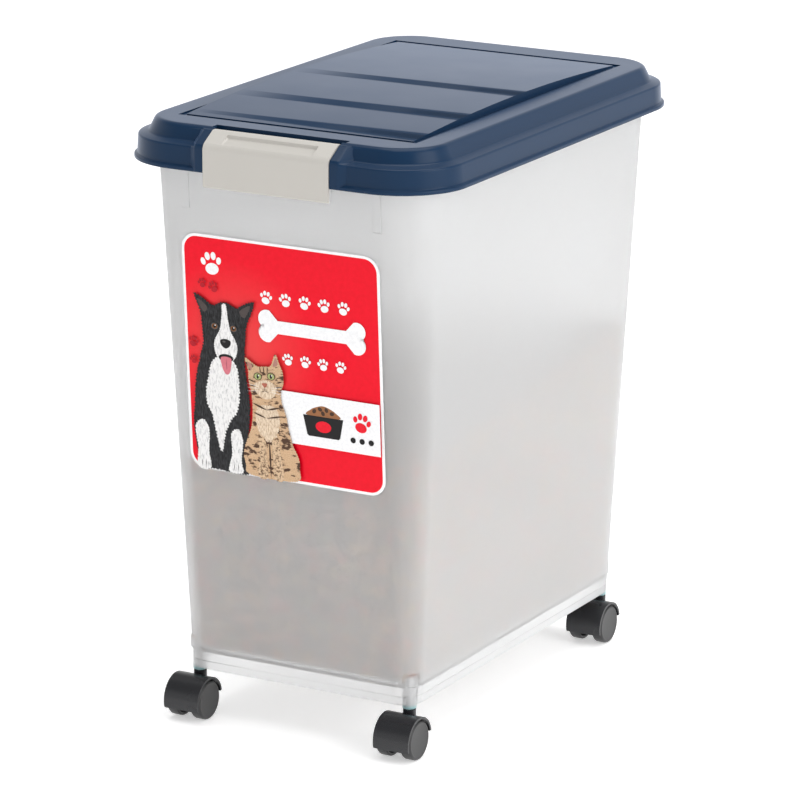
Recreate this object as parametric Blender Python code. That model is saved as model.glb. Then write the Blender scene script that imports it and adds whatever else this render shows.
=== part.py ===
"""Pet food bin: a translucent tapered bin on four casters, with a hinged lid, a seal and a front latch.

Frame: +X to the right seen from the front, -Y to the front (the latch side), +Z up.
The origin is on the floor, under the centre of the bounding box. Sizes are in metres.
"""

import math

import bmesh
import bpy
from mathutils import Matrix, Vector

# Driving dimensions of the bin
BIN_CENTRE_Y = 0.0017
BIN_BOTTOM_Z = 0.0383
BIN_BOTTOM = (0.1978, 0.3332, 0.0164)
BIN_TOP_Z = 0.4371
BIN_TOP = (0.2351, 0.3844, 0.0348)
WALL = 0.0022
FLOOR_Z = 0.0545
FLOOR_UNDER_Z = 0.0520
BASE_STEP_Z = 0.0449
FLANGE_Z = (0.4380, 0.4410)
FLANGE_OUT = 0.0035
RIM_IN = 0.0030
RIM_TOP_Z = 0.4560
RIB_X = 0.0809
CATCH_HALF_WIDTH = 0.0400
CATCH_FRONT_Y = -0.2047

# Driving dimensions of the lid
LIP = (0.2716, 0.4183, 0.0528)
LIP_Z = 0.4371
DECK_Z = 0.4680
DECK_UNDER_Z = 0.4654
LID_WALL = 0.0016
PANEL_HALF_WIDTH = 0.0955
PANEL_Y = (-0.1620, 0.1585)
PANEL_RISE = 0.0055
PANEL_WALL = 0.0022
GROOVE_WIDTH = 0.0048
GROOVE_DEPTH = 0.0013
NOTCH_HALF_WIDTH = 0.0531
NOTCH_Y = -0.1898
CHEEK_OUTER_X = 0.0668
CHEEK_FACE_X = 0.0600
SLOT_HALF_WIDTH = 0.0560
SLOT_REAR_Y = -0.1840
SLOT_FLOOR_Z = 0.4622
SEAL_LAND_Z = 0.4600
SEAL_LAND = (0.0008, 0.0090)
SEAL = (0.0025, 0.0057)

# Lid hinge, latch pivot and catch
HINGE_Y = 0.2064
HINGE_Z = 0.4320
HINGE_X = 0.0680
HINGE_BAR_RADIUS = 0.0022
HINGE_BORE_RADIUS = 0.0025
KNUCKLE_RADIUS = 0.0042
KNUCKLE_HALF_WIDTH = 0.0062
EAR_RADIUS = 0.0036
EAR_THICKNESS = 0.0040
LATCH_HALF_WIDTH = 0.0525
LATCH_FRONT_Y = -0.2106
LATCH_BOTTOM_Z = 0.4267
LATCH_PIVOT = (-0.1929, 0.4638)
LATCH_BARREL_RADIUS = 0.0031
TRUNNION_RADIUS = 0.0020
TRUNNION_REACH = 0.0044

# Label on the front wall
LABEL_X = (-0.0856, 0.0818)
LABEL_Z = (0.2020, 0.3858)
LABEL_CORNER = 0.0130
LABEL_THICKNESS = 0.0004

# Casters
STEM_X = 0.0913
STEM_Y = 0.1578
BOSS_BOTTOM_Z = 0.0353
BOSS_RADIUS = 0.0054
SOCKET_RADIUS = 0.0043
SOCKET_TOP_Z = 0.0605
STEM_RADIUS = 0.0034
WHEEL_RADIUS = 0.0150
WHEEL_INNER_X = 0.0060
WHEEL_OUTER_X = 0.0149
TRAIL = 0.0111
HOOD_RADIUS = 0.0182
HOOD_INNER_RADIUS = 0.0164
HOOD_HALF_WIDTH = 0.0150
HOOD_ARC = (10.0, 197.0)
WEB_HALF_WIDTH = 0.0056
NECK_RADIUS = 0.0050
AXLE_RADIUS = 0.0020
AXLE_BORE_RADIUS = 0.0023

GAP = 0.0003
CORNER_STEPS = 6


def clear_scene():
    for thing in list(bpy.data.objects):
        bpy.data.objects.remove(thing, do_unlink=True)


def make_material(name, color, roughness, metallic=0.0, transmission=0.0):
    material = bpy.data.materials.new(name)
    material.use_nodes = True
    shader = material.node_tree.nodes["Principled BSDF"]
    shader.inputs["Base Color"].default_value = (*color, 1.0)
    shader.inputs["Roughness"].default_value = roughness
    shader.inputs["Metallic"].default_value = metallic
    shader.inputs["Transmission Weight"].default_value = transmission
    return material


def add_object(name, mesh, material=None, collection=None):
    thing = bpy.data.objects.new(name, mesh)
    (collection or bpy.context.scene.collection).objects.link(thing)
    if material:
        mesh.materials.append(material)
    return thing


def helper_collection(name):
    """Shapes that a Boolean adds or cuts: never rendered, drawn as wires."""
    collection = bpy.data.collections.new(name)
    bpy.context.scene.collection.children.link(collection)
    return collection


def add_helper(name, mesh, collection):
    helper = add_object(name, mesh, collection=collection)
    helper.hide_render = True
    helper.display_type = "WIRE"
    return helper


def finish(builder, name):
    bmesh.ops.recalc_face_normals(builder, faces=builder.faces)
    mesh = bpy.data.meshes.new(name)
    builder.to_mesh(mesh)
    builder.free()
    return mesh


def shade_round(mesh, degrees=35.0):
    mesh.shade_smooth()
    mesh.set_sharp_from_angle(angle=math.radians(degrees))


def boolean(thing, operation, operand):
    modifier = thing.modifiers.new(f"{operation.lower()}_{operand.name}", "BOOLEAN")
    modifier.operation = operation
    if isinstance(operand, bpy.types.Collection):
        modifier.operand_type = "COLLECTION"
        modifier.collection = operand
    else:
        modifier.object = operand


def rounded_outline(width, length, radius, centre_y=0.0, steps=CORNER_STEPS):
    """Points of a rectangle with round corners, counterclockwise from the +X side."""
    corners = ((1, 1, 0), (-1, 1, 90), (-1, -1, 180), (1, -1, 270))
    points = []
    for side_x, side_y, start in corners:
        middle = (side_x * (width / 2 - radius), side_y * (length / 2 - radius) + centre_y)
        for step in range(steps + 1):
            angle = math.radians(start + 90 * step / steps)
            points.append((middle[0] + radius * math.cos(angle), middle[1] + radius * math.sin(angle)))
    return points


def bin_outline(z, inset):
    """Outline of the tapered bin at a height, moved inwards by an inset."""
    rise = (z - BIN_BOTTOM_Z) / (BIN_TOP_Z - BIN_BOTTOM_Z)
    rise = min(max(rise, 0.0), 1.0)
    width, length, radius = (low + (high - low) * rise for low, high in zip(BIN_BOTTOM, BIN_TOP))
    return rounded_outline(width - 2 * inset, length - 2 * inset, radius - inset, BIN_CENTRE_Y)


def lid_outline(inset):
    width, length, radius = LIP
    return rounded_outline(width - 2 * inset, length - 2 * inset, radius - inset)


def ring_of(builder, outline, z):
    return [builder.verts.new((x, y, z)) for x, y in outline]


def bridge(builder, lower, upper):
    for index in range(len(lower)):
        following = (index + 1) % len(lower)
        builder.faces.new((lower[index], lower[following], upper[following], upper[index]))


def loft(name, sections):
    """A closed solid through outlines stacked in order, capped at both ends."""
    builder = bmesh.new()
    rings = [ring_of(builder, outline, z) for outline, z in sections]
    for lower, upper in zip(rings, rings[1:]):
        bridge(builder, lower, upper)
    builder.faces.new(rings[0])
    builder.faces.new(rings[-1])
    return finish(builder, name)


def ring_around(name, profile):
    """A ring that follows the bin's rim, from a closed profile of (inset, z) points."""
    builder = bmesh.new()
    rings = [ring_of(builder, bin_outline(BIN_TOP_Z, inset), z) for inset, z in profile]
    for index in range(len(rings)):
        bridge(builder, rings[index], rings[(index + 1) % len(rings)])
    return finish(builder, name)


def prism(name, profile, low_x, high_x):
    """A (y, z) profile pushed out along X."""
    builder = bmesh.new()
    near = [builder.verts.new((low_x, y, z)) for y, z in profile]
    far = [builder.verts.new((high_x, y, z)) for y, z in profile]
    bridge(builder, near, far)
    builder.faces.new(near)
    builder.faces.new(far)
    return finish(builder, name)


def skinned_prism(name, stations):
    """A solid through (x, profile) stations whose (y, z) profiles have the same number of points."""
    builder = bmesh.new()
    rings = [[builder.verts.new((x, y, z)) for y, z in profile] for x, profile in stations]
    for near, far in zip(rings, rings[1:]):
        bridge(builder, near, far)
    builder.faces.new(rings[0])
    builder.faces.new(rings[-1])
    return finish(builder, name)


def block(name, low, high):
    profile = ((low[1], low[2]), (high[1], low[2]), (high[1], high[2]), (low[1], high[2]))
    return prism(name, profile, low[0], high[0])


def arc(centre, radius, start, end, steps):
    """Points on a circle in the (y, z) plane, angles in degrees from +Y towards +Z."""
    points = []
    for step in range(steps + 1):
        angle = math.radians(start + (end - start) * step / steps)
        points.append((centre[0] + radius * math.cos(angle), centre[1] + radius * math.sin(angle)))
    return points


def turned(name, profile, steps, axis="Z"):
    """A solid turned about an axis from (radius, height) points that start and end on it."""
    builder = bmesh.new()
    start_angle = -math.pi / 2
    ends = [builder.verts.new((0, 0, profile[0][1])), builder.verts.new((0, 0, profile[-1][1]))]
    rings = []
    for radius, height in profile[1:-1]:
        ring = []
        for step in range(steps):
            angle = start_angle + 2 * math.pi * step / steps
            ring.append(builder.verts.new((radius * math.cos(angle), radius * math.sin(angle), height)))
        rings.append(ring)
    for lower, upper in zip(rings, rings[1:]):
        bridge(builder, lower, upper)
    for end, ring in zip(ends, (rings[0], rings[-1])):
        for index in range(steps):
            builder.faces.new((end, ring[index], ring[(index + 1) % steps]))
    if axis == "X":
        turn = Matrix.Rotation(math.pi / 2, 4, "Z") @ Matrix.Rotation(math.pi / 2, 4, "X")
        bmesh.ops.transform(builder, matrix=turn, verts=builder.verts)
    return finish(builder, name)


def rod(name, radius, low, high, steps=16, axis="Z"):
    return turned(name, ((0, low), (radius, low), (radius, high), (0, high)), steps, axis)


def front_wall_y(z):
    rise = (z - BIN_BOTTOM_Z) / (BIN_TOP_Z - BIN_BOTTOM_Z)
    return BIN_CENTRE_Y - (BIN_BOTTOM[1] + (BIN_TOP[1] - BIN_BOTTOM[1]) * rise) / 2


def stem_places():
    """Name, x and y of each caster's swivel axis."""
    for front_name, side_y in (("front", -1), ("rear", 1)):
        for side_name, side_x in (("left", -1), ("right", 1)):
            yield f"{front_name}_{side_name}", side_x * STEM_X, side_y * STEM_Y + BIN_CENTRE_Y


def bin_shell():
    """Outer skin, rim, inner skin and floor as one loft, from the floor's underside round to its top."""
    skirt_wall = 0.0030
    foot = 0.0008
    rim_wall = RIM_IN + 0.0020
    sections = (
        (FLOOR_UNDER_Z, skirt_wall),
        (BIN_BOTTOM_Z, skirt_wall),
        (BIN_BOTTOM_Z, foot + 0.0006),
        (BIN_BOTTOM_Z + 0.0006, foot),
        (BASE_STEP_Z, foot),
        (BASE_STEP_Z + 0.0008, 0.0),
        (FLANGE_Z[0], 0.0),
        (FLANGE_Z[0] + 0.0002, -FLANGE_OUT),
        (FLANGE_Z[1], -FLANGE_OUT),
        (FLANGE_Z[1] + 0.0002, RIM_IN),
        (RIM_TOP_Z - 0.0006, RIM_IN),
        (RIM_TOP_Z, RIM_IN + 0.0005),
        (RIM_TOP_Z, rim_wall - 0.0005),
        (RIM_TOP_Z - 0.0006, rim_wall),
        (FLANGE_Z[0] - 0.0005, rim_wall),
        (FLANGE_Z[0] - 0.0040, WALL),
        (FLOOR_Z + 0.0030, WALL),
        (FLOOR_Z, WALL + 0.0030),
    )
    return loft("bin", [(bin_outline(z, inset), z) for z, inset in sections])


def add_caster_bosses(additions, cutters):
    boss_head_radius = 0.0070
    for place, x, y in stem_places():
        boss = rod(f"boss_{place}", BOSS_RADIUS, BOSS_BOTTOM_Z, FLOOR_Z)
        head = rod(f"boss_head_{place}", boss_head_radius, FLOOR_UNDER_Z + 0.0005, SOCKET_TOP_Z + 0.0030)
        socket = rod(f"socket_{place}", SOCKET_RADIUS, BOSS_BOTTOM_Z - 0.0010, SOCKET_TOP_Z)
        for mesh, group in ((boss, additions), (head, additions), (socket, cutters)):
            add_helper(mesh.name, mesh, group).location = (x, y, 0)


def add_front_ribs(additions):
    """Two short upright ribs on the front wall, just under the lid."""
    half_width = 0.0036
    proud = 0.0009
    low_z, high_z = 0.4030, FLANGE_Z[0] + 0.0010
    for side in (-1, 1):
        low_y, high_y = front_wall_y(low_z), front_wall_y(high_z)
        profile = (
            (low_y + 0.0010, low_z),
            (low_y - proud, low_z + 0.0010),
            (high_y - proud, high_z),
            (high_y + 0.0010, high_z),
        )
        middle = side * RIB_X
        rib = prism("front_rib", profile, middle - half_width, middle + half_width)
        add_helper("front_rib", rib, additions)


def add_catch(additions):
    low = (-CATCH_HALF_WIDTH, CATCH_FRONT_Y, FLANGE_Z[0] - 0.0012)
    high = (CATCH_HALF_WIDTH, front_wall_y(FLANGE_Z[0]) + 0.0010, FLANGE_Z[1] - 0.0005)
    add_helper("catch", block("catch", low, high), additions)


def add_hinge_ears(additions):
    """Two ears at each hinge, with a moulded bar between them that the lid's knuckle clips onto."""
    centre = (HINGE_Y, HINGE_Z)
    wall_y = 0.1920
    arm = [*arc(centre, EAR_RADIUS, -90, 90, 8), (wall_y, HINGE_Z + EAR_RADIUS), (wall_y, HINGE_Z - 0.0080)]
    for side in (-1, 1):
        middle = side * HINGE_X
        inner = KNUCKLE_HALF_WIDTH + GAP
        for direction in (-1, 1):
            near = middle + direction * inner
            far = near + direction * EAR_THICKNESS
            add_helper("hinge_ear", prism("hinge_ear", arm, min(near, far), max(near, far)), additions)
        reach = inner + EAR_THICKNESS / 2
        bar = rod("hinge_bar", HINGE_BAR_RADIUS, -reach, reach, 12, "X")
        add_helper("hinge_bar", bar, additions).location = (middle, *centre)


def make_bin(material):
    additions = helper_collection("bin_additions")
    cutters = helper_collection("bin_cutters")
    mesh = bin_shell()
    shade_round(mesh)
    body = add_object("bin", mesh, material)
    add_caster_bosses(additions, cutters)
    add_front_ribs(additions)
    add_catch(additions)
    add_hinge_ears(additions)
    boolean(body, "UNION", additions)
    boolean(body, "DIFFERENCE", cutters)
    return body


def make_label(material):
    """A thin sheet parallel to the sloping front wall."""
    width = LABEL_X[1] - LABEL_X[0]
    height = LABEL_Z[1] - LABEL_Z[0]
    outline = rounded_outline(width, height, LABEL_CORNER, steps=5)
    mesh = loft("label", ((outline, 0.0), (outline, LABEL_THICKNESS)))
    label = add_object("label", mesh, material)
    middle_z = sum(LABEL_Z) / 2
    lean = math.atan2(front_wall_y(LABEL_Z[0]) - front_wall_y(LABEL_Z[1]), height)
    label.location = (sum(LABEL_X) / 2, front_wall_y(middle_z) - GAP, middle_z)
    label.rotation_euler = (math.pi / 2 + lean, 0, 0)


def lid_block():
    """The lid's outside: flared lip, skirt, ledge and upper tier, as a solid block."""
    sections = (
        (LIP_Z, 0.0),
        (LIP_Z + 0.0024, 0.0),
        (LIP_Z + 0.0035, 0.0022),
        (0.4532, 0.0030),
        (0.4546, 0.0038),
        (0.4567, 0.0107),
        (0.4581, 0.0118),
        (0.4642, 0.0144),
        (0.4668, 0.0158),
        (DECK_Z, 0.0175),
    )
    return loft("lid", [(lid_outline(inset), z) for z, inset in sections])


def lid_cavity():
    """The hollow underside, kept clear of the latch notch and its cheeks."""
    sections = (
        (LIP_Z - 0.0010, 0.0022),
        (LIP_Z + 0.0028, 0.0024),
        (LIP_Z + 0.0045, 0.0048),
        (0.4518, 0.0054),
        (0.4530, 0.0062),
        (0.4541, 0.0122),
        (0.4558, 0.0137),
        (0.4624, 0.0162),
        (DECK_UNDER_Z, 0.0178),
    )
    return loft("lid_cavity", [(lid_outline(inset), z) for z, inset in sections])


def panel_profile(low_z, base_z, ends, steps=12):
    """A (y, z) profile with a gently arched top between two ends."""
    middle = sum(PANEL_Y) / 2
    half = (PANEL_Y[1] - PANEL_Y[0]) / 2
    points = [(ends[0], low_z)]
    for step in range(steps + 1):
        y = ends[0] + (ends[1] - ends[0]) * step / steps
        points.append((y, base_z + PANEL_RISE * (1 - ((y - middle) / half) ** 2)))
    points.append((ends[1], low_z))
    return points


def add_panel_groove(cutters):
    floor_z = DECK_Z - GROOVE_DEPTH
    top_z = DECK_Z + 0.0010
    reach = PANEL_HALF_WIDTH + GROOVE_WIDTH
    front, back = PANEL_Y
    bars = (
        ((-reach, front - GROOVE_WIDTH), (reach, front)),
        ((-reach, back), (reach, back + GROOVE_WIDTH)),
        ((-reach, front - GROOVE_WIDTH / 2), (-PANEL_HALF_WIDTH, back + GROOVE_WIDTH / 2)),
        ((PANEL_HALF_WIDTH, front - GROOVE_WIDTH / 2), (reach, back + GROOVE_WIDTH / 2)),
    )
    for low, high in bars:
        add_helper("groove", block("groove", (*low, floor_z), (*high, top_z)), cutters)


def add_raised_panel(additions, cutters):
    tuck = 0.0002
    ends = (PANEL_Y[0] - tuck, PANEL_Y[1] + tuck)
    top = panel_profile(DECK_Z - 0.0018, DECK_Z, ends)
    add_helper("panel", prism("panel", top, -PANEL_HALF_WIDTH - tuck, PANEL_HALF_WIDTH + tuck), additions)
    inner_ends = (PANEL_Y[0] + PANEL_WALL, PANEL_Y[1] - PANEL_WALL)
    under = panel_profile(DECK_UNDER_Z - 0.0040, DECK_UNDER_Z, inner_ends)
    reach = PANEL_HALF_WIDTH - PANEL_WALL
    add_helper("under_panel", prism("under_panel", under, -reach, reach), cutters)


def add_cheeks(additions):
    """The blocks either side of the latch that hold its pivots, each slanting back to the skirt."""
    front_y = LATCH_FRONT_Y + 0.0008
    back_y = NOTCH_Y + 0.0010
    foot_z = LIP_Z + 0.0002
    face = (
        (back_y, 0.4500),
        (back_y, 0.4672),
        (-0.1952, 0.4662),
        (-0.2084, 0.4580),
        (front_y, 0.4552),
        (front_y, foot_z),
        (-0.2045, foot_z),
        (-0.2045, 0.4500),
    )
    end = (
        (back_y, 0.4500),
        (back_y, 0.4668),
        (-0.1916, 0.4668),
        (-0.1976, 0.4570),
        (-0.2050, 0.4546),
        (-0.2058, foot_z),
        (-0.2045, foot_z),
        (-0.2045, 0.4500),
    )
    for side in (-1, 1):
        start, bend, stop = (side * x for x in (NOTCH_HALF_WIDTH - 0.0010, CHEEK_FACE_X, CHEEK_OUTER_X))
        stations = ((start, face), (bend, face), (stop, end))
        add_helper("cheek", skinned_prism("cheek", stations), additions)


def add_cheek_pockets(cutters):
    """Each cheek is cored out from below, so that its walls stay thin."""
    for side in (-1, 1):
        near, far = sorted((side * (NOTCH_HALF_WIDTH + 0.0026), side * (CHEEK_FACE_X + 0.0012)))
        low = (near, -0.2068, LIP_Z - 0.0010)
        high = (far, NOTCH_Y - 0.0016, 0.4560)
        add_helper("cheek_pocket", block("cheek_pocket", low, high), cutters)


def add_knuckles(additions, cutters):
    """Clips under the lid's rear lip, open downwards, that snap over the bin's hinge bars."""
    centre = (HINGE_Y, HINGE_Z)
    mouth = 0.0017
    for side in (-1, 1):
        ends = (side * HINGE_X - KNUCKLE_HALF_WIDTH, side * HINGE_X + KNUCKLE_HALF_WIDTH)
        barrel = prism("knuckle", arc(centre, KNUCKLE_RADIUS, 0, 345, 23), *ends)
        add_helper("knuckle", barrel, additions)
        web = block("knuckle_web", (ends[0], 0.2040, HINGE_Z + 0.0028), (ends[1], 0.2085, LIP_Z + 0.0060))
        add_helper("knuckle_web", web, additions)
        reach = KNUCKLE_HALF_WIDTH + 0.0010
        bore = rod("knuckle_bore", HINGE_BORE_RADIUS, -reach, reach, 16, "X")
        add_helper("knuckle_bore", bore, cutters).location = (side * HINGE_X, *centre)
        low = (ends[0] - 0.0010, HINGE_Y - mouth, HINGE_Z - KNUCKLE_RADIUS - 0.0010)
        high = (ends[1] + 0.0010, HINGE_Y + mouth, HINGE_Z - 0.0006)
        add_helper("knuckle_mouth", block("knuckle_mouth", low, high), cutters)


def add_seal_channel(additions):
    """A land under the deck, with two ribs below it that hold the seal above the bin's rim."""
    outer, inner = SEAL_LAND
    rib_z = RIM_TOP_Z - 0.0002
    top_z = DECK_UNDER_Z + 0.0004
    profile = (
        (outer, top_z),
        (outer, rib_z),
        (SEAL[0] - GAP, rib_z),
        (SEAL[0] - GAP, SEAL_LAND_Z),
        (SEAL[1] + GAP, SEAL_LAND_Z),
        (SEAL[1] + GAP, rib_z),
        (SEAL[1] + 0.0016, rib_z),
        (SEAL[1] + 0.0016, SEAL_LAND_Z),
        (inner, SEAL_LAND_Z),
        (inner, top_z),
    )
    add_helper("seal_channel", ring_around("seal_channel", profile), additions)


def make_lid(material):
    mesh = lid_block()
    shade_round(mesh)
    lid = add_object("lid", mesh, material)
    lid.matrix_world = Matrix.Identity(4)
    outside = helper_collection("lid_outside_additions")
    hollows = helper_collection("lid_hollows")
    inside = helper_collection("lid_inside_additions")
    bores = helper_collection("lid_bores")
    add_cheeks(outside)
    cavity = add_helper("lid_cavity", lid_cavity(), hollows)
    guard_low = (-CHEEK_OUTER_X - 0.0010, -0.2200, 0.4480)
    guard_high = (CHEEK_OUTER_X + 0.0010, NOTCH_Y + LID_WALL, 0.4700)
    guards = helper_collection("cavity_guards")
    guard = add_helper("latch_guard", block("latch_guard", guard_low, guard_high), guards)
    boolean(cavity, "DIFFERENCE", guard)
    notch_low = (-NOTCH_HALF_WIDTH, -0.2200, LIP_Z - 0.0050)
    notch_high = (NOTCH_HALF_WIDTH, NOTCH_Y, DECK_Z + 0.0100)
    add_helper("notch", block("notch", notch_low, notch_high), hollows)
    add_cheek_pockets(hollows)
    add_panel_groove(hollows)
    slot_low = (-SLOT_HALF_WIDTH, NOTCH_Y - 0.0010, SLOT_FLOOR_Z)
    slot_high = (SLOT_HALF_WIDTH, SLOT_REAR_Y, DECK_Z + 0.0100)
    add_helper("slot", block("slot", slot_low, slot_high), bores)
    add_seal_channel(inside)
    add_knuckles(inside, bores)
    add_raised_panel(inside, bores)
    reach = LATCH_HALF_WIDTH + TRUNNION_REACH + 0.0004
    pivot_bore = rod("pivot_bore", TRUNNION_RADIUS + GAP, -reach, reach, 12, "X")
    add_helper("pivot_bore", pivot_bore, bores).location = (0, *LATCH_PIVOT)
    boolean(lid, "UNION", outside)
    boolean(lid, "DIFFERENCE", hollows)
    boolean(lid, "UNION", inside)
    boolean(lid, "DIFFERENCE", bores)
    return lid


def make_gasket(material):
    low_z, high_z = RIM_TOP_Z + GAP, SEAL_LAND_Z - GAP
    profile = ((SEAL[0], low_z), (SEAL[0], high_z), (SEAL[1], high_z), (SEAL[1], low_z))
    return add_object("lid_gasket", ring_around("lid_gasket", profile), material)


def latch_section():
    """The latch's J section: barrel at the rear, sloping top, upright front plate."""
    y, z = LATCH_PIVOT
    front = LATCH_FRONT_Y
    outer = [(-0.1962, 0.4667), (-0.2050, 0.4613), (-0.2086, 0.4590), (-0.2102, 0.4568), (front, 0.4535)]
    foot = [(front, 0.4277), (front + 0.0009, LATCH_BOTTOM_Z), (front + 0.0022, LATCH_BOTTOM_Z)]
    inner = [(front + 0.0024, 0.4535), (-0.2050, 0.4572), (-0.1985, 0.4608)]
    barrel = arc((y, z), LATCH_BARREL_RADIUS, -120, 90, 12)
    return [*outer, *foot, *inner, *barrel]


def add_latch_details(additions, cutters):
    pivot_y, pivot_z = LATCH_PIVOT
    web = ((pivot_y, pivot_z), (-0.2050, 0.4600), (-0.2094, 0.4550), (-0.2094, 0.4370), (-0.1975, 0.4560))
    for side in (-1, 1):
        ends = sorted((side * LATCH_HALF_WIDTH, side * (LATCH_HALF_WIDTH - 0.0018)))
        add_helper("end_web", prism("end_web", web, *ends), additions)
    hook_tip = CATCH_FRONT_Y - 0.0005
    inside = LATCH_FRONT_Y + 0.0012
    hook = ((inside, 0.4292), (hook_tip, 0.4305), (hook_tip, 0.4345), (inside, 0.4362))
    add_helper("hook", prism("hook", hook, -0.0300, 0.0300), additions)
    reach = LATCH_HALF_WIDTH + TRUNNION_REACH
    trunnions = rod("trunnions", TRUNNION_RADIUS, -reach, reach, 12, "X")
    add_helper("trunnions", trunnions, additions).location = (0, pivot_y, pivot_z)
    recess = ((-0.1983, 0.4690), (-0.1993, 0.4626), (-0.2082, 0.4588), (-0.2090, 0.4690))
    add_helper("recess", prism("recess", recess, -0.0370, 0.0370), cutters)


def make_latch(material):
    """Origin on the pivot axis."""
    mesh = prism("latch", latch_section(), -LATCH_HALF_WIDTH, LATCH_HALF_WIDTH)
    shade_round(mesh)
    mesh.transform(Matrix.Translation((0, -LATCH_PIVOT[0], -LATCH_PIVOT[1])))
    latch = add_object("latch", mesh, material)
    latch.location = (0, *LATCH_PIVOT)
    additions = helper_collection("latch_additions")
    cutters = helper_collection("latch_cutters")
    add_latch_details(additions, cutters)
    boolean(latch, "UNION", additions)
    boolean(latch, "DIFFERENCE", cutters)
    return latch


def wheel_mesh():
    """A cupped wheel turned about X, its plain face outwards and its open side inwards."""
    hub_radius = 0.0044
    bore_end = 0.0139
    profile = (
        (0, bore_end),
        (AXLE_BORE_RADIUS, bore_end),
        (AXLE_BORE_RADIUS, WHEEL_INNER_X),
        (hub_radius, WHEEL_INNER_X),
        (hub_radius, 0.0124),
        (0.0122, 0.0124),
        (0.0128, WHEEL_INNER_X + 0.0004),
        (WHEEL_RADIUS - 0.0010, WHEEL_INNER_X),
        (WHEEL_RADIUS, WHEEL_INNER_X + 0.0010),
        (WHEEL_RADIUS, WHEEL_OUTER_X - 0.0014),
        (WHEEL_RADIUS - 0.0012, WHEEL_OUTER_X - 0.0002),
        (WHEEL_RADIUS - 0.0030, WHEEL_OUTER_X),
        (0, WHEEL_OUTER_X),
    )
    mesh = turned("wheel", profile, 20, "X")
    shade_round(mesh)
    return mesh


def stem_mesh():
    """Steel stem: a head that the hood hangs on, and a groove for the grip ring near the top."""
    profile = (
        (0, 0.0200),
        (0.0038, 0.0200),
        (0.0044, 0.0206),
        (0.0044, 0.0220),
        (STEM_RADIUS, 0.0222),
        (STEM_RADIUS, 0.0542),
        (0.0026, 0.0543),
        (0.0026, 0.0573),
        (STEM_RADIUS, 0.0574),
        (STEM_RADIUS - 0.0010, 0.0600),
        (0, 0.0600),
    )
    mesh = turned("stem", profile, 16)
    shade_round(mesh)
    return mesh


def grip_ring_mesh():
    """A split spring ring that holds the stem in its socket."""
    builder = bmesh.new()
    inner, outer, low, high = 0.0029, 0.0040, 0.0546, 0.0570
    steps = 14
    open_degrees = 40
    sections = []
    for step in range(steps + 1):
        angle = math.radians(open_degrees / 2 + (360 - open_degrees) * step / steps)
        out = Vector((math.cos(angle), math.sin(angle), 0))
        corners = ((inner, low), (outer, low), (outer, high), (inner, high))
        sections.append([builder.verts.new(out * radius + Vector((0, 0, z))) for radius, z in corners])
    for near, far in zip(sections, sections[1:]):
        bridge(builder, near, far)
    builder.faces.new(sections[0])
    builder.faces.new(sections[-1])
    return finish(builder, "grip_ring")


def hood_parts(additions, cutters):
    axle = (-TRAIL, WHEEL_RADIUS)
    start, end = HOOD_ARC
    web = arc(axle, HOOD_INNER_RADIUS + 0.0006, start + 2, end - 2, 14)
    web += [(-TRAIL - 0.0060, WHEEL_RADIUS - 0.0075), (-TRAIL + 0.0080, WHEEL_RADIUS - 0.0075)]
    add_helper("hood_web", prism("hood_web", web, -WEB_HALF_WIDTH, WEB_HALF_WIDTH), additions)
    add_helper("hood_neck", rod("hood_neck", NECK_RADIUS, 0.0240, BOSS_BOTTOM_Z - GAP), additions)
    bore = rod("stem_bore", STEM_RADIUS + GAP, 0.0100, BOSS_BOTTOM_Z + 0.0010)
    head_pocket = rod("head_pocket", 0.0047, 0.0090, 0.0223)
    add_helper("stem_bore", bore, cutters)
    add_helper("head_pocket", head_pocket, cutters)
    reach = WEB_HALF_WIDTH + 0.0010
    axle_bore = rod("axle_bore", AXLE_BORE_RADIUS, -reach, reach, 12, "X")
    add_helper("axle_bore", axle_bore, cutters).location = (0, *axle)


def hood_mesh():
    """A half-round cover over both wheels, with a web between them and a neck for the stem.

    Built about the swivel axis, then turned into one mesh that the four hoods share.
    """
    axle = (-TRAIL, WHEEL_RADIUS)
    start, end = HOOD_ARC
    outside = arc(axle, HOOD_RADIUS, start, end, 18)
    inside = arc(axle, HOOD_INNER_RADIUS, end, start, 18)
    additions = helper_collection("hood_additions")
    cutters = helper_collection("hood_cutters")
    profile = [*outside, *inside]
    shell = add_object("hood_shell", prism("hood", profile, -HOOD_HALF_WIDTH, HOOD_HALF_WIDTH))
    hood_parts(additions, cutters)
    boolean(shell, "UNION", additions)
    boolean(shell, "DIFFERENCE", cutters)
    graph = bpy.context.evaluated_depsgraph_get()
    mesh = bpy.data.meshes.new_from_object(shell.evaluated_get(graph))
    mesh.name = "hood"
    bpy.data.objects.remove(shell)
    mesh.materials.clear()
    shade_round(mesh)
    return mesh


def make_casters(black, steel):
    """Stem and grip ring stay in the bin, hood and axle swivel, and the wheels turn on the axle."""
    parts = (
        ("stem", stem_mesh(), steel),
        ("grip_ring", grip_ring_mesh(), steel),
        ("hood", hood_mesh(), black),
        ("axle", rod("axle", AXLE_RADIUS, -0.0136, 0.0136, 12, "X"), steel),
    )
    wheel = wheel_mesh()
    wheel.materials.append(black)
    for _, mesh, material in parts:
        mesh.materials.append(material)
    for place, x, y in stem_places():
        for name, mesh, _ in parts:
            piece = add_object(f"caster_{place}_{name}", mesh)
            piece.location = (x, y, 0)
            if name == "axle":
                piece.location = (x, y - TRAIL, WHEEL_RADIUS)
        for side_name, turn in (("left", math.pi), ("right", 0.0)):
            piece = add_object(f"caster_{place}_wheel_{side_name}", wheel)
            piece.location = (x, y - TRAIL, WHEEL_RADIUS)
            piece.rotation_euler = (0, 0, turn)


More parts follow.
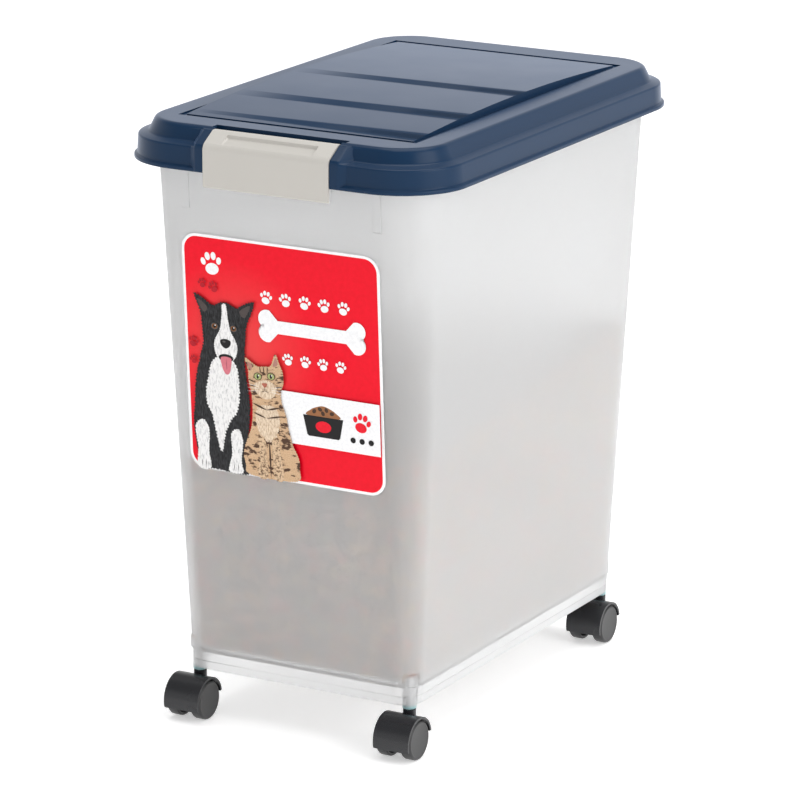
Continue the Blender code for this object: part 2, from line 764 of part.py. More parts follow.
def main():
    clear_scene()
    frosted = make_material("frosted_plastic", (0.80, 0.79, 0.76), 0.45, transmission=0.6)
    navy = make_material("navy_plastic", (0.040, 0.082, 0.150), 0.42)
    grey = make_material("grey_plastic", (0.60, 0.58, 0.53), 0.45)
    foam = make_material("seal_foam", (0.55, 0.55, 0.53), 0.90)
    paper = make_material("label_film", (0.80, 0.02, 0.04), 0.35)
    black = make_material("caster_plastic", (0.025, 0.025, 0.027), 0.40)
    steel = make_material("steel", (0.55, 0.55, 0.56), 0.30, metallic=1.0)
    make_bin(frosted)
    make_label(paper)
    make_lid(navy)
    make_gasket(foam)
    make_latch(grey)
    make_casters(black, steel)


main()
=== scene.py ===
"""The visual model of the pet food bin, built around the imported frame, with its camera, lights and floor."""

import math
import random

import bmesh
import bpy
from mathutils import Euler, Matrix, Vector, noise


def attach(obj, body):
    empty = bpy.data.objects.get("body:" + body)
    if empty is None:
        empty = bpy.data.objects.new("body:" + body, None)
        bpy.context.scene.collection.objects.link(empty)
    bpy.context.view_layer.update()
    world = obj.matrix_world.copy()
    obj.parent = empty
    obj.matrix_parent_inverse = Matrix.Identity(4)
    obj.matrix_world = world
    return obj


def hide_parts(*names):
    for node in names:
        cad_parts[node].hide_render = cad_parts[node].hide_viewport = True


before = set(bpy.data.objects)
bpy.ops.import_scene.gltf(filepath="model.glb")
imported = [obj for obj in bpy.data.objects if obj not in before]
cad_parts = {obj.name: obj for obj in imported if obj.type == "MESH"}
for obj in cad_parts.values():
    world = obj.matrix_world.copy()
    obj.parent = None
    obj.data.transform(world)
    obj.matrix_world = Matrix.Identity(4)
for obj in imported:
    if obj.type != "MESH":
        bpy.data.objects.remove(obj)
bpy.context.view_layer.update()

# Sizes shared with the CAD model, in metres
BIN_CENTRE_Y = 0.0017
BIN_BOTTOM_Z, BIN_TOP_Z = 0.0383, 0.4371
BIN_BOTTOM = (0.1978, 0.3332, 0.0164)
BIN_TOP = (0.2351, 0.3844, 0.0348)
WALL = 0.0022
FLOOR_UNDER_Z, FLOOR_Z = 0.0520, 0.0545
BASE_STEP_Z = 0.0449
FLANGE_Z = (0.4380, 0.4410)
RIM_TOP_Z = 0.4560
CATCH_FRONT_Y = -0.2047
LIP = (0.2716, 0.4183, 0.0528)
LIP_Z, DECK_Z, DECK_UNDER_Z = 0.4371, 0.4680, 0.4654
PANEL_HALF_WIDTH, PANEL_Y, PANEL_RISE = 0.0955, (-0.1620, 0.1585), 0.0055
GROOVE_WIDTH, GROOVE_DEPTH = 0.0048, 0.0013
NOTCH_HALF_WIDTH, NOTCH_Y = 0.0531, -0.1898
CHEEK_FACE_X, CHEEK_OUTER_X = 0.0600, 0.0668
SLOT_HALF_WIDTH, SLOT_REAR_Y, SLOT_FLOOR_Z = 0.0560, -0.1840, 0.4622
SEAL_LAND_Z, SEAL_LAND, SEAL = 0.4600, (0.0008, 0.0090), (0.0025, 0.0057)
HINGE_X, HINGE_Y, HINGE_Z = 0.0680, 0.2064, 0.4320
KNUCKLE_HALF_WIDTH = 0.0062
LATCH_HALF_WIDTH, LATCH_FRONT_Y, LATCH_BOTTOM_Z = 0.0525, -0.2106, 0.4267
LATCH_PIVOT, LATCH_BARREL_RADIUS = (-0.1929, 0.4638), 0.0031
LABEL_X, LABEL_Z, LABEL_CORNER = (-0.0856, 0.0818), (0.2020, 0.3858), 0.0130
STEM_X, STEM_Y, BOSS_BOTTOM_Z = 0.0913, 0.1578, 0.0353
TRAIL, WHEEL_RADIUS = 0.0111, 0.0150
HOOD_RADIUS, HOOD_INNER_RADIUS, HOOD_HALF_WIDTH = 0.0182, 0.0164, 0.0150
HOOD_ARC = (10.0, 197.0)
WEB_HALF_WIDTH, NECK_RADIUS = 0.0056, 0.0050


# ---------------------------------------------------------------- shapes


def rounded_outline(width, length, radius, centre_y=0.0, steps=18):
    points = []
    for side_x, side_y, start in ((1, 1, 0), (-1, 1, 90), (-1, -1, 180), (1, -1, 270)):
        middle = (side_x * (width / 2 - radius), side_y * (length / 2 - radius) + centre_y)
        for step in range(steps + 1):
            angle = math.radians(start + 90 * step / steps)
            points.append((middle[0] + radius * math.cos(angle), middle[1] + radius * math.sin(angle)))
    return points


def bin_outline(z, inset, steps=18):
    rise = min(max((z - BIN_BOTTOM_Z) / (BIN_TOP_Z - BIN_BOTTOM_Z), 0.0), 1.0)
    width, length, radius = (a + (b - a) * rise for a, b in zip(BIN_BOTTOM, BIN_TOP))
    return rounded_outline(width - 2 * inset, length - 2 * inset, radius - inset, BIN_CENTRE_Y, steps)


def lid_outline(inset):
    width, length, radius = LIP
    return rounded_outline(width - 2 * inset, length - 2 * inset, radius - inset, steps=22)


def front_wall_y(z):
    rise = (z - BIN_BOTTOM_Z) / (BIN_TOP_Z - BIN_BOTTOM_Z)
    return BIN_CENTRE_Y - (BIN_BOTTOM[1] + (BIN_TOP[1] - BIN_BOTTOM[1]) * rise) / 2


def arc(centre, radius, start, end, steps):
    points = []
    for step in range(steps + 1):
        angle = math.radians(start + (end - start) * step / steps)
        points.append((centre[0] + radius * math.cos(angle), centre[1] + radius * math.sin(angle)))
    return points


def done(builder, name):
    bmesh.ops.recalc_face_normals(builder, faces=builder.faces)
    mesh = bpy.data.meshes.new(name)
    builder.to_mesh(mesh)
    builder.free()
    return mesh


def bridge(builder, lower, upper):
    for index in range(len(lower)):
        following = (index + 1) % len(lower)
        builder.faces.new((lower[index], lower[following], upper[following], upper[index]))


def loft(name, sections, caps=True):
    builder = bmesh.new()
    rings = [[builder.verts.new((x, y, z)) for x, y in outline] for outline, z in sections]
    for lower, upper in zip(rings, rings[1:]):
        bridge(builder, lower, upper)
    if caps:
        builder.faces.new(rings[0])
        builder.faces.new(rings[-1])
    else:
        bridge(builder, rings[-1], rings[0])
    return done(builder, name)


def prism(name, profile, low_x, high_x, ease=0.0):
    """A (y, z) profile pushed out along X, with its two end faces' edges eased."""
    builder = bmesh.new()
    near = [builder.verts.new((low_x, y, z)) for y, z in profile]
    far = [builder.verts.new((high_x, y, z)) for y, z in profile]
    bridge(builder, near, far)
    ends = [builder.faces.new(near), builder.faces.new(far)]
    if ease:
        edges = list({edge for face in ends for edge in face.edges})
        bmesh.ops.bevel(builder, geom=edges, offset=ease, segments=3, profile=0.5, affect="EDGES")
    return done(builder, name)


def block(name, low, high, ease=0.0):
    profile = ((low[1], low[2]), (high[1], low[2]), (high[1], high[2]), (low[1], high[2]))
    builder = bmesh.new()
    near = [builder.verts.new((low[0], y, z)) for y, z in profile]
    far = [builder.verts.new((high[0], y, z)) for y, z in profile]
    bridge(builder, near, far)
    builder.faces.new(near)
    builder.faces.new(far)
    if ease:
        bmesh.ops.bevel(builder, geom=list(builder.edges), offset=ease, segments=2, profile=0.5,
            affect="EDGES")
    return done(builder, name)


def skinned_prism(name, stations):
    builder = bmesh.new()
    rings = [[builder.verts.new((x, y, z)) for y, z in profile] for x, profile in stations]
    for near, far in zip(rings, rings[1:]):
        bridge(builder, near, far)
    builder.faces.new(rings[0])
    builder.faces.new(rings[-1])
    return done(builder, name)


def turned(name, profile, steps=40, axis="Z"):
    builder = bmesh.new()
    ends = [builder.verts.new((0, 0, profile[0][1])), builder.verts.new((0, 0, profile[-1][1]))]
    rings = []
    for radius, height in profile[1:-1]:
        ring = []
        for step in range(steps):
            angle = 2 * math.pi * step / steps
            ring.append(builder.verts.new((radius * math.cos(angle), radius * math.sin(angle), height)))
        rings.append(ring)
    for lower, upper in zip(rings, rings[1:]):
        bridge(builder, lower, upper)
    for end, ring in zip(ends, (rings[0], rings[-1])):
        for index in range(steps):
            builder.faces.new((end, ring[index], ring[(index + 1) % steps]))
    if axis == "X":
        turn = Matrix.Rotation(math.pi / 2, 4, "Z") @ Matrix.Rotation(math.pi / 2, 4, "X")
        bmesh.ops.transform(builder, matrix=turn, verts=builder.verts)
    return done(builder, name)


def rod(name, radius, low, high, steps=32, axis="Z", ease=0.0004):
    profile = ((0, low), (radius - ease, low), (radius, low + ease))
    profile += ((radius, high - ease), (radius - ease, high), (0, high))
    return turned(name, profile, steps, axis)


def moved(mesh, x=0.0, y=0.0, z=0.0):
    mesh.transform(Matrix.Translation((x, y, z)))
    return mesh


def combine(mesh, *stages):
    """Applies groups of union and cut meshes in turn, and returns one plain mesh."""
    base = bpy.data.objects.new("work", mesh)
    bpy.context.scene.collection.objects.link(base)
    helpers, groups = [], []
    for operation, shapes in stages:
        group = bpy.data.collections.new("work_group")
        bpy.context.scene.collection.children.link(group)
        groups.append(group)
        for shape in shapes:
            helper = bpy.data.objects.new("work_shape", shape)
            group.objects.link(helper)
            helpers.append(helper)
        modifier = base.modifiers.new(operation, "BOOLEAN")
        modifier.operation = operation
        modifier.operand_type = "COLLECTION"
        modifier.collection = group
    bpy.context.view_layer.update()
    graph = bpy.context.evaluated_depsgraph_get()
    made = bpy.data.meshes.new_from_object(base.evaluated_get(graph))
    for thing in [base, *helpers]:
        bpy.data.objects.remove(thing, do_unlink=True)
    for group in groups:
        bpy.data.collections.remove(group)
    made.materials.clear()
    return made


def smooth(mesh, degrees=32.0):
    mesh.shade_smooth()
    mesh.set_sharp_from_angle(angle=math.radians(degrees))
    return mesh


def piece(name, mesh, material, body, replaced=(), degrees=32.0):
    smooth(mesh, degrees)
    mesh.name = name
    mesh.materials.clear()
    for each in material if isinstance(material, (list, tuple)) else (material,):
        mesh.materials.append(each)
    thing = bpy.data.objects.new(name, mesh)
    bpy.context.scene.collection.objects.link(thing)
    even = thing.modifiers.new("even_shading", "WEIGHTED_NORMAL")
    even.keep_sharp = True
    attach(thing, body)
    if replaced:
        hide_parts(*replaced)
    return thing


# ---------------------------------------------------------------- materials


class Nodes:
    """A short way to wire one Principled material."""

    def __init__(self, name, **settings):
        self.material = bpy.data.materials.new(name)
        self.material.use_nodes = True
        self.tree = self.material.node_tree
        self.shader = self.tree.nodes["Principled BSDF"]
        for key, value in settings.items():
            self.shader.inputs[key.replace("_", " ")].default_value = value
        self.place = self.add("ShaderNodeTexCoord").outputs["Object"]

    def add(self, kind, links=None, **settings):
        node = self.tree.nodes.new(kind)
        for key, value in settings.items():
            setattr(node, key, value)
        for key, value in (links or {}).items():
            if isinstance(value, bpy.types.NodeSocket):
                self.tree.links.new(value, node.inputs[key])
            else:
                node.inputs[key].default_value = value
        return node

    def noise(self, scale, detail=3.0, roughness=0.5, vector=None):
        inputs = {"Vector": vector or self.place, "Scale": scale, "Detail": detail, "Roughness": roughness}
        return self.add("ShaderNodeTexNoise", inputs).outputs["Fac"]

    def ramp(self, factor, *stops):
        node = self.add("ShaderNodeValToRGB", {"Fac": factor})
        elements = node.color_ramp.elements
        while len(elements) < len(stops):
            elements.new(0.5)
        for element, (position, colour) in zip(elements, stops):
            element.position = position
            element.color = (*colour, 1.0) if len(colour) == 3 else colour
        return node.outputs["Color"]

    def spread(self, factor, low, high, start=0.0, end=1.0):
        inputs = {"Value": factor, "From Min": start, "From Max": end, "To Min": low, "To Max": high}
        return self.add("ShaderNodeMapRange", inputs).outputs["Result"]

    def mix(self, factor, first, second, blend="MIX"):
        node = self.add("ShaderNodeMix", data_type="RGBA", blend_type=blend)
        for socket, value in zip((node.inputs[0], node.inputs[6], node.inputs[7]), (factor, first, second)):
            if isinstance(value, bpy.types.NodeSocket):
                self.tree.links.new(value, socket)
            elif isinstance(value, (int, float)):
                socket.default_value = value
            else:
                socket.default_value = (*value, 1.0)
        return node.outputs[2]

    def set(self, name, value):
        self.tree.links.new(value, self.shader.inputs[name])

    def bump(self, height, strength, distance):
        inputs = {"Height": height, "Strength": strength, "Distance": distance}
        self.set("Normal", self.add("ShaderNodeBump", inputs).outputs["Normal"])


def moulded(name, colour, shift, roughness, grain=1500.0, grain_depth=0.00003, **settings):
    """Satin moulded plastic: faint flow tone, uneven gloss and a fine grain."""
    nodes = Nodes(name, Roughness=roughness, **settings)
    broad = nodes.noise(14.0, 4.0, 0.55)
    light = tuple(min(1.0, channel * (1 + shift)) for channel in colour)
    dark = tuple(channel * (1 - shift) for channel in colour)
    nodes.set("Base Color", nodes.ramp(broad, (0.3, dark), (0.7, light)))
    uneven = nodes.noise(22.0, 3.0, 0.5)
    nodes.set("Roughness", nodes.spread(uneven, roughness - 0.015, roughness + 0.015, 0.3, 0.7))
    fine = nodes.noise(grain, 2.0, 0.5)
    nodes.bump(fine, 0.12, grain_depth)
    return nodes.material


def frosted_material():
    """Milky polypropylene: part scattered, part passed through, a little blue at the thick cut ends."""
    nodes = Nodes("frosted_plastic", Roughness=0.36, IOR=1.49)
    nodes.shader.inputs["Transmission Weight"].default_value = 0.76
    height = nodes.add("ShaderNodeSeparateXYZ", {"Vector": nodes.place}).outputs["Z"]
    foot = nodes.ramp(nodes.spread(height, 0.0, 1.0, 0.0350, 0.0400), (0.30, (0.62, 0.90, 0.92)),
        (0.75, (0.93, 0.935, 0.94)))
    cloud = nodes.noise(9.0, 3.0, 0.5)
    tone = nodes.ramp(cloud, (0.3, (0.965, 0.96, 0.955)), (0.7, (1.0, 1.0, 1.0)))
    nodes.set("Base Color", nodes.mix(1.0, foot, tone, "MULTIPLY"))
    nodes.set("Roughness", nodes.spread(nodes.noise(35.0, 4.0, 0.6), 0.31, 0.43, 0.3, 0.7))
    nodes.bump(nodes.noise(900.0, 3.0, 0.6), 0.30, 0.00006)
    return nodes.material


def kibble_material():
    """Dry food: mixed browns with a few red and ochre bits, told apart piece by piece, with painted shade in
    the gaps between the bits.
    """
    nodes = Nodes("dry_food", Roughness=0.85)
    cells = nodes.add("ShaderNodeTexVoronoi", {"Vector": nodes.place, "Scale": 118.0})
    pick = nodes.add("ShaderNodeSeparateColor", {"Color": cells.outputs["Color"]})
    colour = nodes.ramp(
        pick.outputs["Red"],
        (0.00, (0.130, 0.062, 0.030)),
        (0.28, (0.300, 0.165, 0.075)),
        (0.50, (0.480, 0.290, 0.140)),
        (0.70, (0.500, 0.090, 0.050)),
        (0.84, (0.640, 0.390, 0.160)),
        (1.00, (0.260, 0.230, 0.100)),
    )
    # Painted shade: each cell darkens towards its edge, standing in for the shade in the gaps between bits.
    edge = nodes.spread(cells.outputs["Distance"], 1.0, 0.35, 0.25, 0.75)
    shade = nodes.ramp(edge, (0.0, (0.16, 0.14, 0.13)), (1.0, (1.0, 1.0, 1.0)))
    nodes.set("Base Color", nodes.mix(1.0, colour, shade, "MULTIPLY"))
    nodes.bump(nodes.noise(700.0, 4.0, 0.7), 0.6, 0.0004)
    return nodes.material


def foam_material():
    nodes = Nodes("seal_foam", Roughness=0.9)
    nodes.set("Base Color", nodes.ramp(nodes.noise(420.0, 3.0, 0.6), (0.3, (0.50, 0.50, 0.47)),
        (0.7, (0.64, 0.63, 0.60))))
    nodes.bump(nodes.noise(1800.0, 3.0, 0.7), 0.6, 0.0002)
    return nodes.material


def steel_material():
    nodes = Nodes("plated_steel", Metallic=1.0, Roughness=0.3)
    nodes.set("Base Color", nodes.ramp(nodes.noise(300.0, 3.0, 0.6), (0.3, (0.48, 0.48, 0.49)),
        (0.7, (0.62, 0.62, 0.63))))
    nodes.set("Roughness", nodes.spread(nodes.noise(800.0, 3.0, 0.6), 0.22, 0.40, 0.3, 0.7))
    return nodes.material


def printed(name, colour, shift=0.05, scale=220.0, roughness=0.32, **settings):
    nodes = Nodes(name, Roughness=roughness, **settings)
    light = tuple(min(1.0, channel * (1 + shift)) for channel in colour)
    dark = tuple(channel * (1 - shift) for channel in colour)
    nodes.set("Base Color", nodes.ramp(nodes.noise(scale, 4.0, 0.65), (0.35, dark), (0.65, light)))
    nodes.set("Roughness", nodes.spread(nodes.noise(45.0, 3.0, 0.5), roughness - 0.04,
        roughness + 0.06, 0.3, 0.7))
    return nodes.material


# ---------------------------------------------------------------- bin


def eased(points, closed=True, steps=4):
    """Corners given as (a, b, reach): each is eased over its own reach, and a reach of 0 stays sharp."""
    made = []
    count = len(points)
    for index, (a, b, reach) in enumerate(points):
        here = Vector((a, b))
        if not reach or (not closed and index in (0, count - 1)):
            made.append((a, b))
            continue
        before, after = Vector(points[index - 1][:2]), Vector(points[(index + 1) % count][:2])
        limit = min((before - here).length, (after - here).length) * 0.48
        reach = min(reach, limit)
        start = here + (before - here).normalized() * reach
        end = here + (after - here).normalized() * reach
        for step in range(steps + 1):
            t = step / steps
            made.append(tuple(start * (1 - t) ** 2 + here * 2 * t * (1 - t) + end * t * t))
    return made


def bin_shell():
    skirt_wall, foot, rim_wall, flange = 0.0030, 0.0008, 0.0050, -0.0035
    low, high = FLANGE_Z
    profile = (
        (skirt_wall, FLOOR_UNDER_Z, 0),
        (skirt_wall, BIN_BOTTOM_Z, 0.0005),
        (foot, BIN_BOTTOM_Z, 0.0012),
        (foot, BASE_STEP_Z, 0.0004),
        (0.0, BASE_STEP_Z + 0.0009, 0.0006),
        (0.0, low, 0.0010),
        (flange, low + 0.0002, 0.0005),
        (flange, high, 0.0006),
        (0.0030, high + 0.0002, 0.0008),
        (0.0030, RIM_TOP_Z, 0.0007),
        (rim_wall, RIM_TOP_Z, 0.0007),
        (rim_wall, low - 0.0005, 0.0010),
        (WALL, low - 0.0040, 0.0012),
        (WALL, FLOOR_Z, 0.0030),
        (WALL + 0.0060, FLOOR_Z, 0),
    )
    return loft("bin", [(bin_outline(z, inset), z) for inset, z in eased(profile, closed=False)])


def stem_places():
    for front_name, side_y in (("front", -1), ("rear", 1)):
        for side_name, side_x in (("left", -1), ("right", 1)):
            yield f"{front_name}_{side_name}", side_x * STEM_X, side_y * STEM_Y + BIN_CENTRE_Y


def bin_additions():
    shapes = []
    for _, x, y in stem_places():
        shapes.append(moved(rod("boss", 0.0054, BOSS_BOTTOM_Z, FLOOR_Z, 40, ease=0.0006), x, y))
        shapes.append(moved(rod("boss_head", 0.0070, FLOOR_UNDER_Z + 0.0005, 0.0635, 40, ease=0.0010), x, y))
    low_z, high_z, proud, half_width = 0.4030, FLANGE_Z[0] + 0.0010, 0.0009, 0.0036
    low_y, high_y = front_wall_y(low_z), front_wall_y(high_z)
    rib = (
        (low_y + 0.0010, low_z, 0),
        (low_y - proud, low_z + 0.0012, 0.0008),
        (high_y - proud, high_z, 0),
        (high_y + 0.0010, high_z, 0),
    )
    for side in (-1, 1):
        middle = side * 0.0809
        shapes.append(prism("front_rib", eased(rib), middle - half_width, middle + half_width, 0.0005))
    catch_low = (-0.0400, CATCH_FRONT_Y, FLANGE_Z[0] - 0.0012)
    catch_high = (0.0400, front_wall_y(FLANGE_Z[0]) + 0.0010, FLANGE_Z[1] - 0.0005)
    shapes.append(block("catch", catch_low, catch_high, 0.0004))
    radius, wall_y = 0.0036, 0.1920
    arm = [*arc((HINGE_Y, HINGE_Z), radius, -90, 90, 20), (wall_y, HINGE_Z + radius),
        (wall_y, HINGE_Z - 0.0080)]
    for side in (-1, 1):
        inner = KNUCKLE_HALF_WIDTH + 0.0003
        for direction in (-1, 1):
            near = side * HINGE_X + direction * inner
            ends = sorted((near, near + direction * 0.0040))
            shapes.append(prism("hinge_ear", arm, *ends, 0.0004))
        reach = inner + 0.0020
        shapes.append(moved(rod("hinge_bar", 0.0022, -reach, reach, 28, "X"), side * HINGE_X, HINGE_Y,
            HINGE_Z))
    return shapes


def bin_mesh():
    sockets = [moved(rod("socket", 0.0043, BOSS_BOTTOM_Z - 0.0010, 0.0605, 36), x, y) for _, x,
        y in stem_places()]
    return combine(bin_shell(), ("UNION", bin_additions()), ("DIFFERENCE", sockets))


# ---------------------------------------------------------------- lid


def lid_block():
    profile = (
        (0.0, LIP_Z, 0.0004),
        (0.0, LIP_Z + 0.0026, 0.0007),
        (0.0023, LIP_Z + 0.0035, 0.0008),
        (0.0031, 0.4549, 0.0013),
        (0.0109, 0.4571, 0.0013),
        (0.0163, DECK_Z, 0.0052),
    )
    start, end = (0.0030, LIP_Z, 0), (0.0230, DECK_Z, 0)
    rings = eased((start, *profile, end), closed=False, steps=6)
    return loft("lid", [(lid_outline(inset), z) for inset, z in rings])


def lid_cavity():
    profile = (
        (0.0018, LIP_Z - 0.0010, 0),
        (0.0020, LIP_Z + 0.0030, 0.0006),
        (0.0048, LIP_Z + 0.0045, 0.0008),
        (0.0054, 0.4527, 0.0008),
        (0.0128, 0.4546, 0.0008),
        (0.0170, DECK_UNDER_Z, 0.0010),
        (0.0230, DECK_UNDER_Z, 0),
    )
    return loft("lid_cavity", [(lid_outline(inset), z) for inset, z in eased(profile, closed=False)])


def panel_profile(low_z, base_z, ends, steps=40):
    middle, half = sum(PANEL_Y) / 2, (PANEL_Y[1] - PANEL_Y[0]) / 2
    points = [(ends[0], low_z)]
    for step in range(steps + 1):
        y = ends[0] + (ends[1] - ends[0]) * step / steps
        points.append((y, base_z + PANEL_RISE * (1 - ((y - middle) / half) ** 2)))
    points.append((ends[1], low_z))
    return points


def groove_bars():
    floor_z, top_z = DECK_Z - GROOVE_DEPTH, DECK_Z + 0.0010
    reach, (front, back) = PANEL_HALF_WIDTH + GROOVE_WIDTH, PANEL_Y
    bars = (
        ((-reach, front - GROOVE_WIDTH), (reach, front)),
        ((-reach, back), (reach, back + GROOVE_WIDTH)),
        ((-reach, front - GROOVE_WIDTH / 2), (-PANEL_HALF_WIDTH, back + GROOVE_WIDTH / 2)),
        ((PANEL_HALF_WIDTH, front - GROOVE_WIDTH / 2), (reach, back + GROOVE_WIDTH / 2)),
    )
    return [block("groove", (*low, floor_z), (*high, top_z)) for low, high in bars]


def cheeks():
    front_y, back_y, foot_z = LATCH_FRONT_Y + 0.0008, NOTCH_Y + 0.0010, LIP_Z + 0.0002
    face = (
        (back_y, 0.4500, 0),
        (back_y, 0.4673, 0),
        (-0.1950, 0.4665, 0.0010),
        (-0.2090, 0.4577, 0.0020),
        (front_y, 0.4553, 0.0012),
        (front_y, foot_z, 0.0005),
        (-0.2045, foot_z, 0),
        (-0.2045, 0.4500, 0),
    )
    end = (
        (back_y, 0.4500, 0),
        (back_y, 0.4668, 0),
        (-0.1916, 0.4668, 0.0010),
        (-0.1976, 0.4570, 0.0020),
        (-0.2050, 0.4546, 0.0012),
        (-0.2058, foot_z, 0.0005),
        (-0.2045, foot_z, 0),
        (-0.2045, 0.4500, 0),
    )
    made = []
    for side in (-1, 1):
        stations = []
        for x, share in ((NOTCH_HALF_WIDTH - 0.0010, 0.0), (CHEEK_FACE_X - 0.0012, 0.0),
            (CHEEK_FACE_X - 0.0003, 0.03),
                         (CHEEK_FACE_X + 0.0007, 0.12), (CHEEK_OUTER_X, 1.0)):
            profile = [(a + (c - a) * share, b + (d - b) * share, r) for (a, b, r),
                (c, d, _) in zip(face, end)]
            stations.append((side * x, eased(profile)))
        made.append(skinned_prism("cheek", stations))
    return made


def ring_around(name, profile):
    builder = bmesh.new()
    rings = [[builder.verts.new((x, y, z)) for x, y in bin_outline(BIN_TOP_Z, inset)] for inset,
        z in profile]
    for index in range(len(rings)):
        bridge(builder, rings[index], rings[(index + 1) % len(rings)])
    return done(builder, name)


def seal_channel():
    (outer, inner), rib_z, top_z = SEAL_LAND, RIM_TOP_Z - 0.0002, DECK_UNDER_Z + 0.0004
    near, far, gap = SEAL[0] - 0.0003, SEAL[1] + 0.0003, 0.0016
    profile = (
        (outer, top_z),
        (outer, rib_z),
        (near, rib_z),
        (near, SEAL_LAND_Z),
        (far, SEAL_LAND_Z),
        (far, rib_z),
        (SEAL[1] + gap, rib_z),
        (SEAL[1] + gap, SEAL_LAND_Z),
        (inner, SEAL_LAND_Z),
        (inner, top_z),
    )
    return ring_around("seal_channel", profile)


def lid_mesh():
    guard_low = (-CHEEK_OUTER_X - 0.0010, -0.2200, 0.4480)
    guard_high = (CHEEK_OUTER_X + 0.0010, NOTCH_Y + 0.0016, 0.4700)
    hollows = [combine(lid_cavity(), ("DIFFERENCE", [block("guard", guard_low, guard_high)]))]
    notch_low, notch_high = (-NOTCH_HALF_WIDTH, -0.2200, LIP_Z - 0.0050), (NOTCH_HALF_WIDTH, NOTCH_Y, 0.4780)
    hollows.append(block("notch", notch_low, notch_high))
    for side in (-1, 1):
        near, far = sorted((side * (NOTCH_HALF_WIDTH + 0.0026), side * (CHEEK_FACE_X + 0.0010)))
        hollows.append(block("pocket", (near, -0.2068, LIP_Z - 0.0010), (far, NOTCH_Y - 0.0016, 0.4560)))
    hollows += groove_bars()
    inside, bores = [seal_channel()], []
    for side in (-1, 1):
        ends = (side * HINGE_X - KNUCKLE_HALF_WIDTH, side * HINGE_X + KNUCKLE_HALF_WIDTH)
        inside.append(prism("knuckle", arc((HINGE_Y, HINGE_Z), 0.0042, 0, 352, 44), *ends, 0.0003))
        inside.append(block("knuckle_web", (ends[0], 0.2040, HINGE_Z + 0.0028),
            (ends[1], 0.2085, LIP_Z + 0.0060)))
        bores.append(moved(rod("bore", 0.0025, -0.0072, 0.0072, 32, "X"), side * HINGE_X, HINGE_Y, HINGE_Z))
        low = (ends[0] - 0.0010, HINGE_Y - 0.0017, HINGE_Z - 0.0052)
        bores.append(block("mouth", low, (ends[1] + 0.0010, HINGE_Y + 0.0017, HINGE_Z - 0.0006)))
    tuck, wall = 0.0002, 0.0022
    ends = (PANEL_Y[0] - tuck, PANEL_Y[1] + tuck)
    top = panel_profile(DECK_Z - 0.0018, DECK_Z, ends)
    inside.append(prism("panel", top, -PANEL_HALF_WIDTH - tuck, PANEL_HALF_WIDTH + tuck, 0.0006))
    under = panel_profile(DECK_UNDER_Z - 0.0040, DECK_UNDER_Z, (PANEL_Y[0] + wall, PANEL_Y[1] - wall))
    bores.append(prism("under_panel", under, wall - PANEL_HALF_WIDTH, PANEL_HALF_WIDTH - wall))
    slot_low, slot_high = (-SLOT_HALF_WIDTH, NOTCH_Y - 0.0010, SLOT_FLOOR_Z), (SLOT_HALF_WIDTH,
        SLOT_REAR_Y, 0.4780)
    bores.append(block("slot", slot_low, slot_high))
    reach = LATCH_HALF_WIDTH + 0.0048
    bores.append(moved(rod("pivot_bore", 0.0023, -reach, reach, 28, "X"), 0, *LATCH_PIVOT))
    stages = (("UNION", cheeks()), ("DIFFERENCE", hollows), ("UNION", inside), ("DIFFERENCE", bores))
    return combine(lid_block(), *stages)


def gasket_mesh():
    low, high, reach = RIM_TOP_Z + 0.0003, SEAL_LAND_Z - 0.0003, 0.0010
    corners = ((SEAL[0], low, reach), (SEAL[0], high, reach), (SEAL[1], high, reach), (SEAL[1], low, reach))
    return ring_around("lid_gasket", eased(corners, steps=6))


# ---------------------------------------------------------------- latch


def latch_mesh():
    y, z = LATCH_PIVOT
    front, foot = LATCH_FRONT_Y, LATCH_BOTTOM_Z
    outer = ((-0.1960, 0.4668, 0.0014), (front, 0.4579, 0.0040), (front, foot, 0.0010),
        (front + 0.0022, foot, 0.0007))
    inner = ((front + 0.0022, 0.4549, 0.0020), (-0.1985, 0.4616, 0))
    barrel = [(a, b, 0) for a, b in arc((y, z), LATCH_BARREL_RADIUS, -120, 90, 28)]
    body = prism("latch", eased((*outer, *inner, *barrel), steps=8), -LATCH_HALF_WIDTH,
        LATCH_HALF_WIDTH, 0.0005)
    web = ((y, z), (-0.2050, 0.4600), (-0.2094, 0.4550), (-0.2094, 0.4370), (-0.1975, 0.4560))
    additions = []
    for side in (-1, 1):
        ends = sorted((side * (LATCH_HALF_WIDTH - 0.0004), side * (LATCH_HALF_WIDTH - 0.0022)))
        additions.append(prism("end_web", web, *ends))
    tip, back = CATCH_FRONT_Y - 0.0005, front + 0.0012
    hook = ((back, 0.4292, 0), (tip, 0.4305, 0.0008), (tip, 0.4345, 0.0008), (back, 0.4362, 0))
    additions.append(prism("hook", eased(hook), -0.0300, 0.0300, 0.0004))
    reach = LATCH_HALF_WIDTH + 0.0044
    additions.append(moved(rod("trunnions", 0.0020, -reach, reach, 28, "X"), 0, y, z))
    recess = ((-0.1982, 0.4700, 0), (-0.1992, 0.4624, 0.0006), (-0.2083, 0.4590, 0.0004),
        (-0.2100, 0.4700, 0))
    stations = []
    for x, lift in ((-0.0382, 0.0012), (-0.0376, 0.0004), (-0.0366, 0.0), (0.0366, 0.0),
            (0.0376, 0.0004), (0.0382, 0.0012)):
        stations.append((x, eased([(a, b + (lift if b < 0.4650 else 0.0), r) for a, b, r in recess])))
    cutter = skinned_prism("recess", stations)
    return combine(body, ("UNION", additions), ("DIFFERENCE", [cutter]))


# ---------------------------------------------------------------- casters


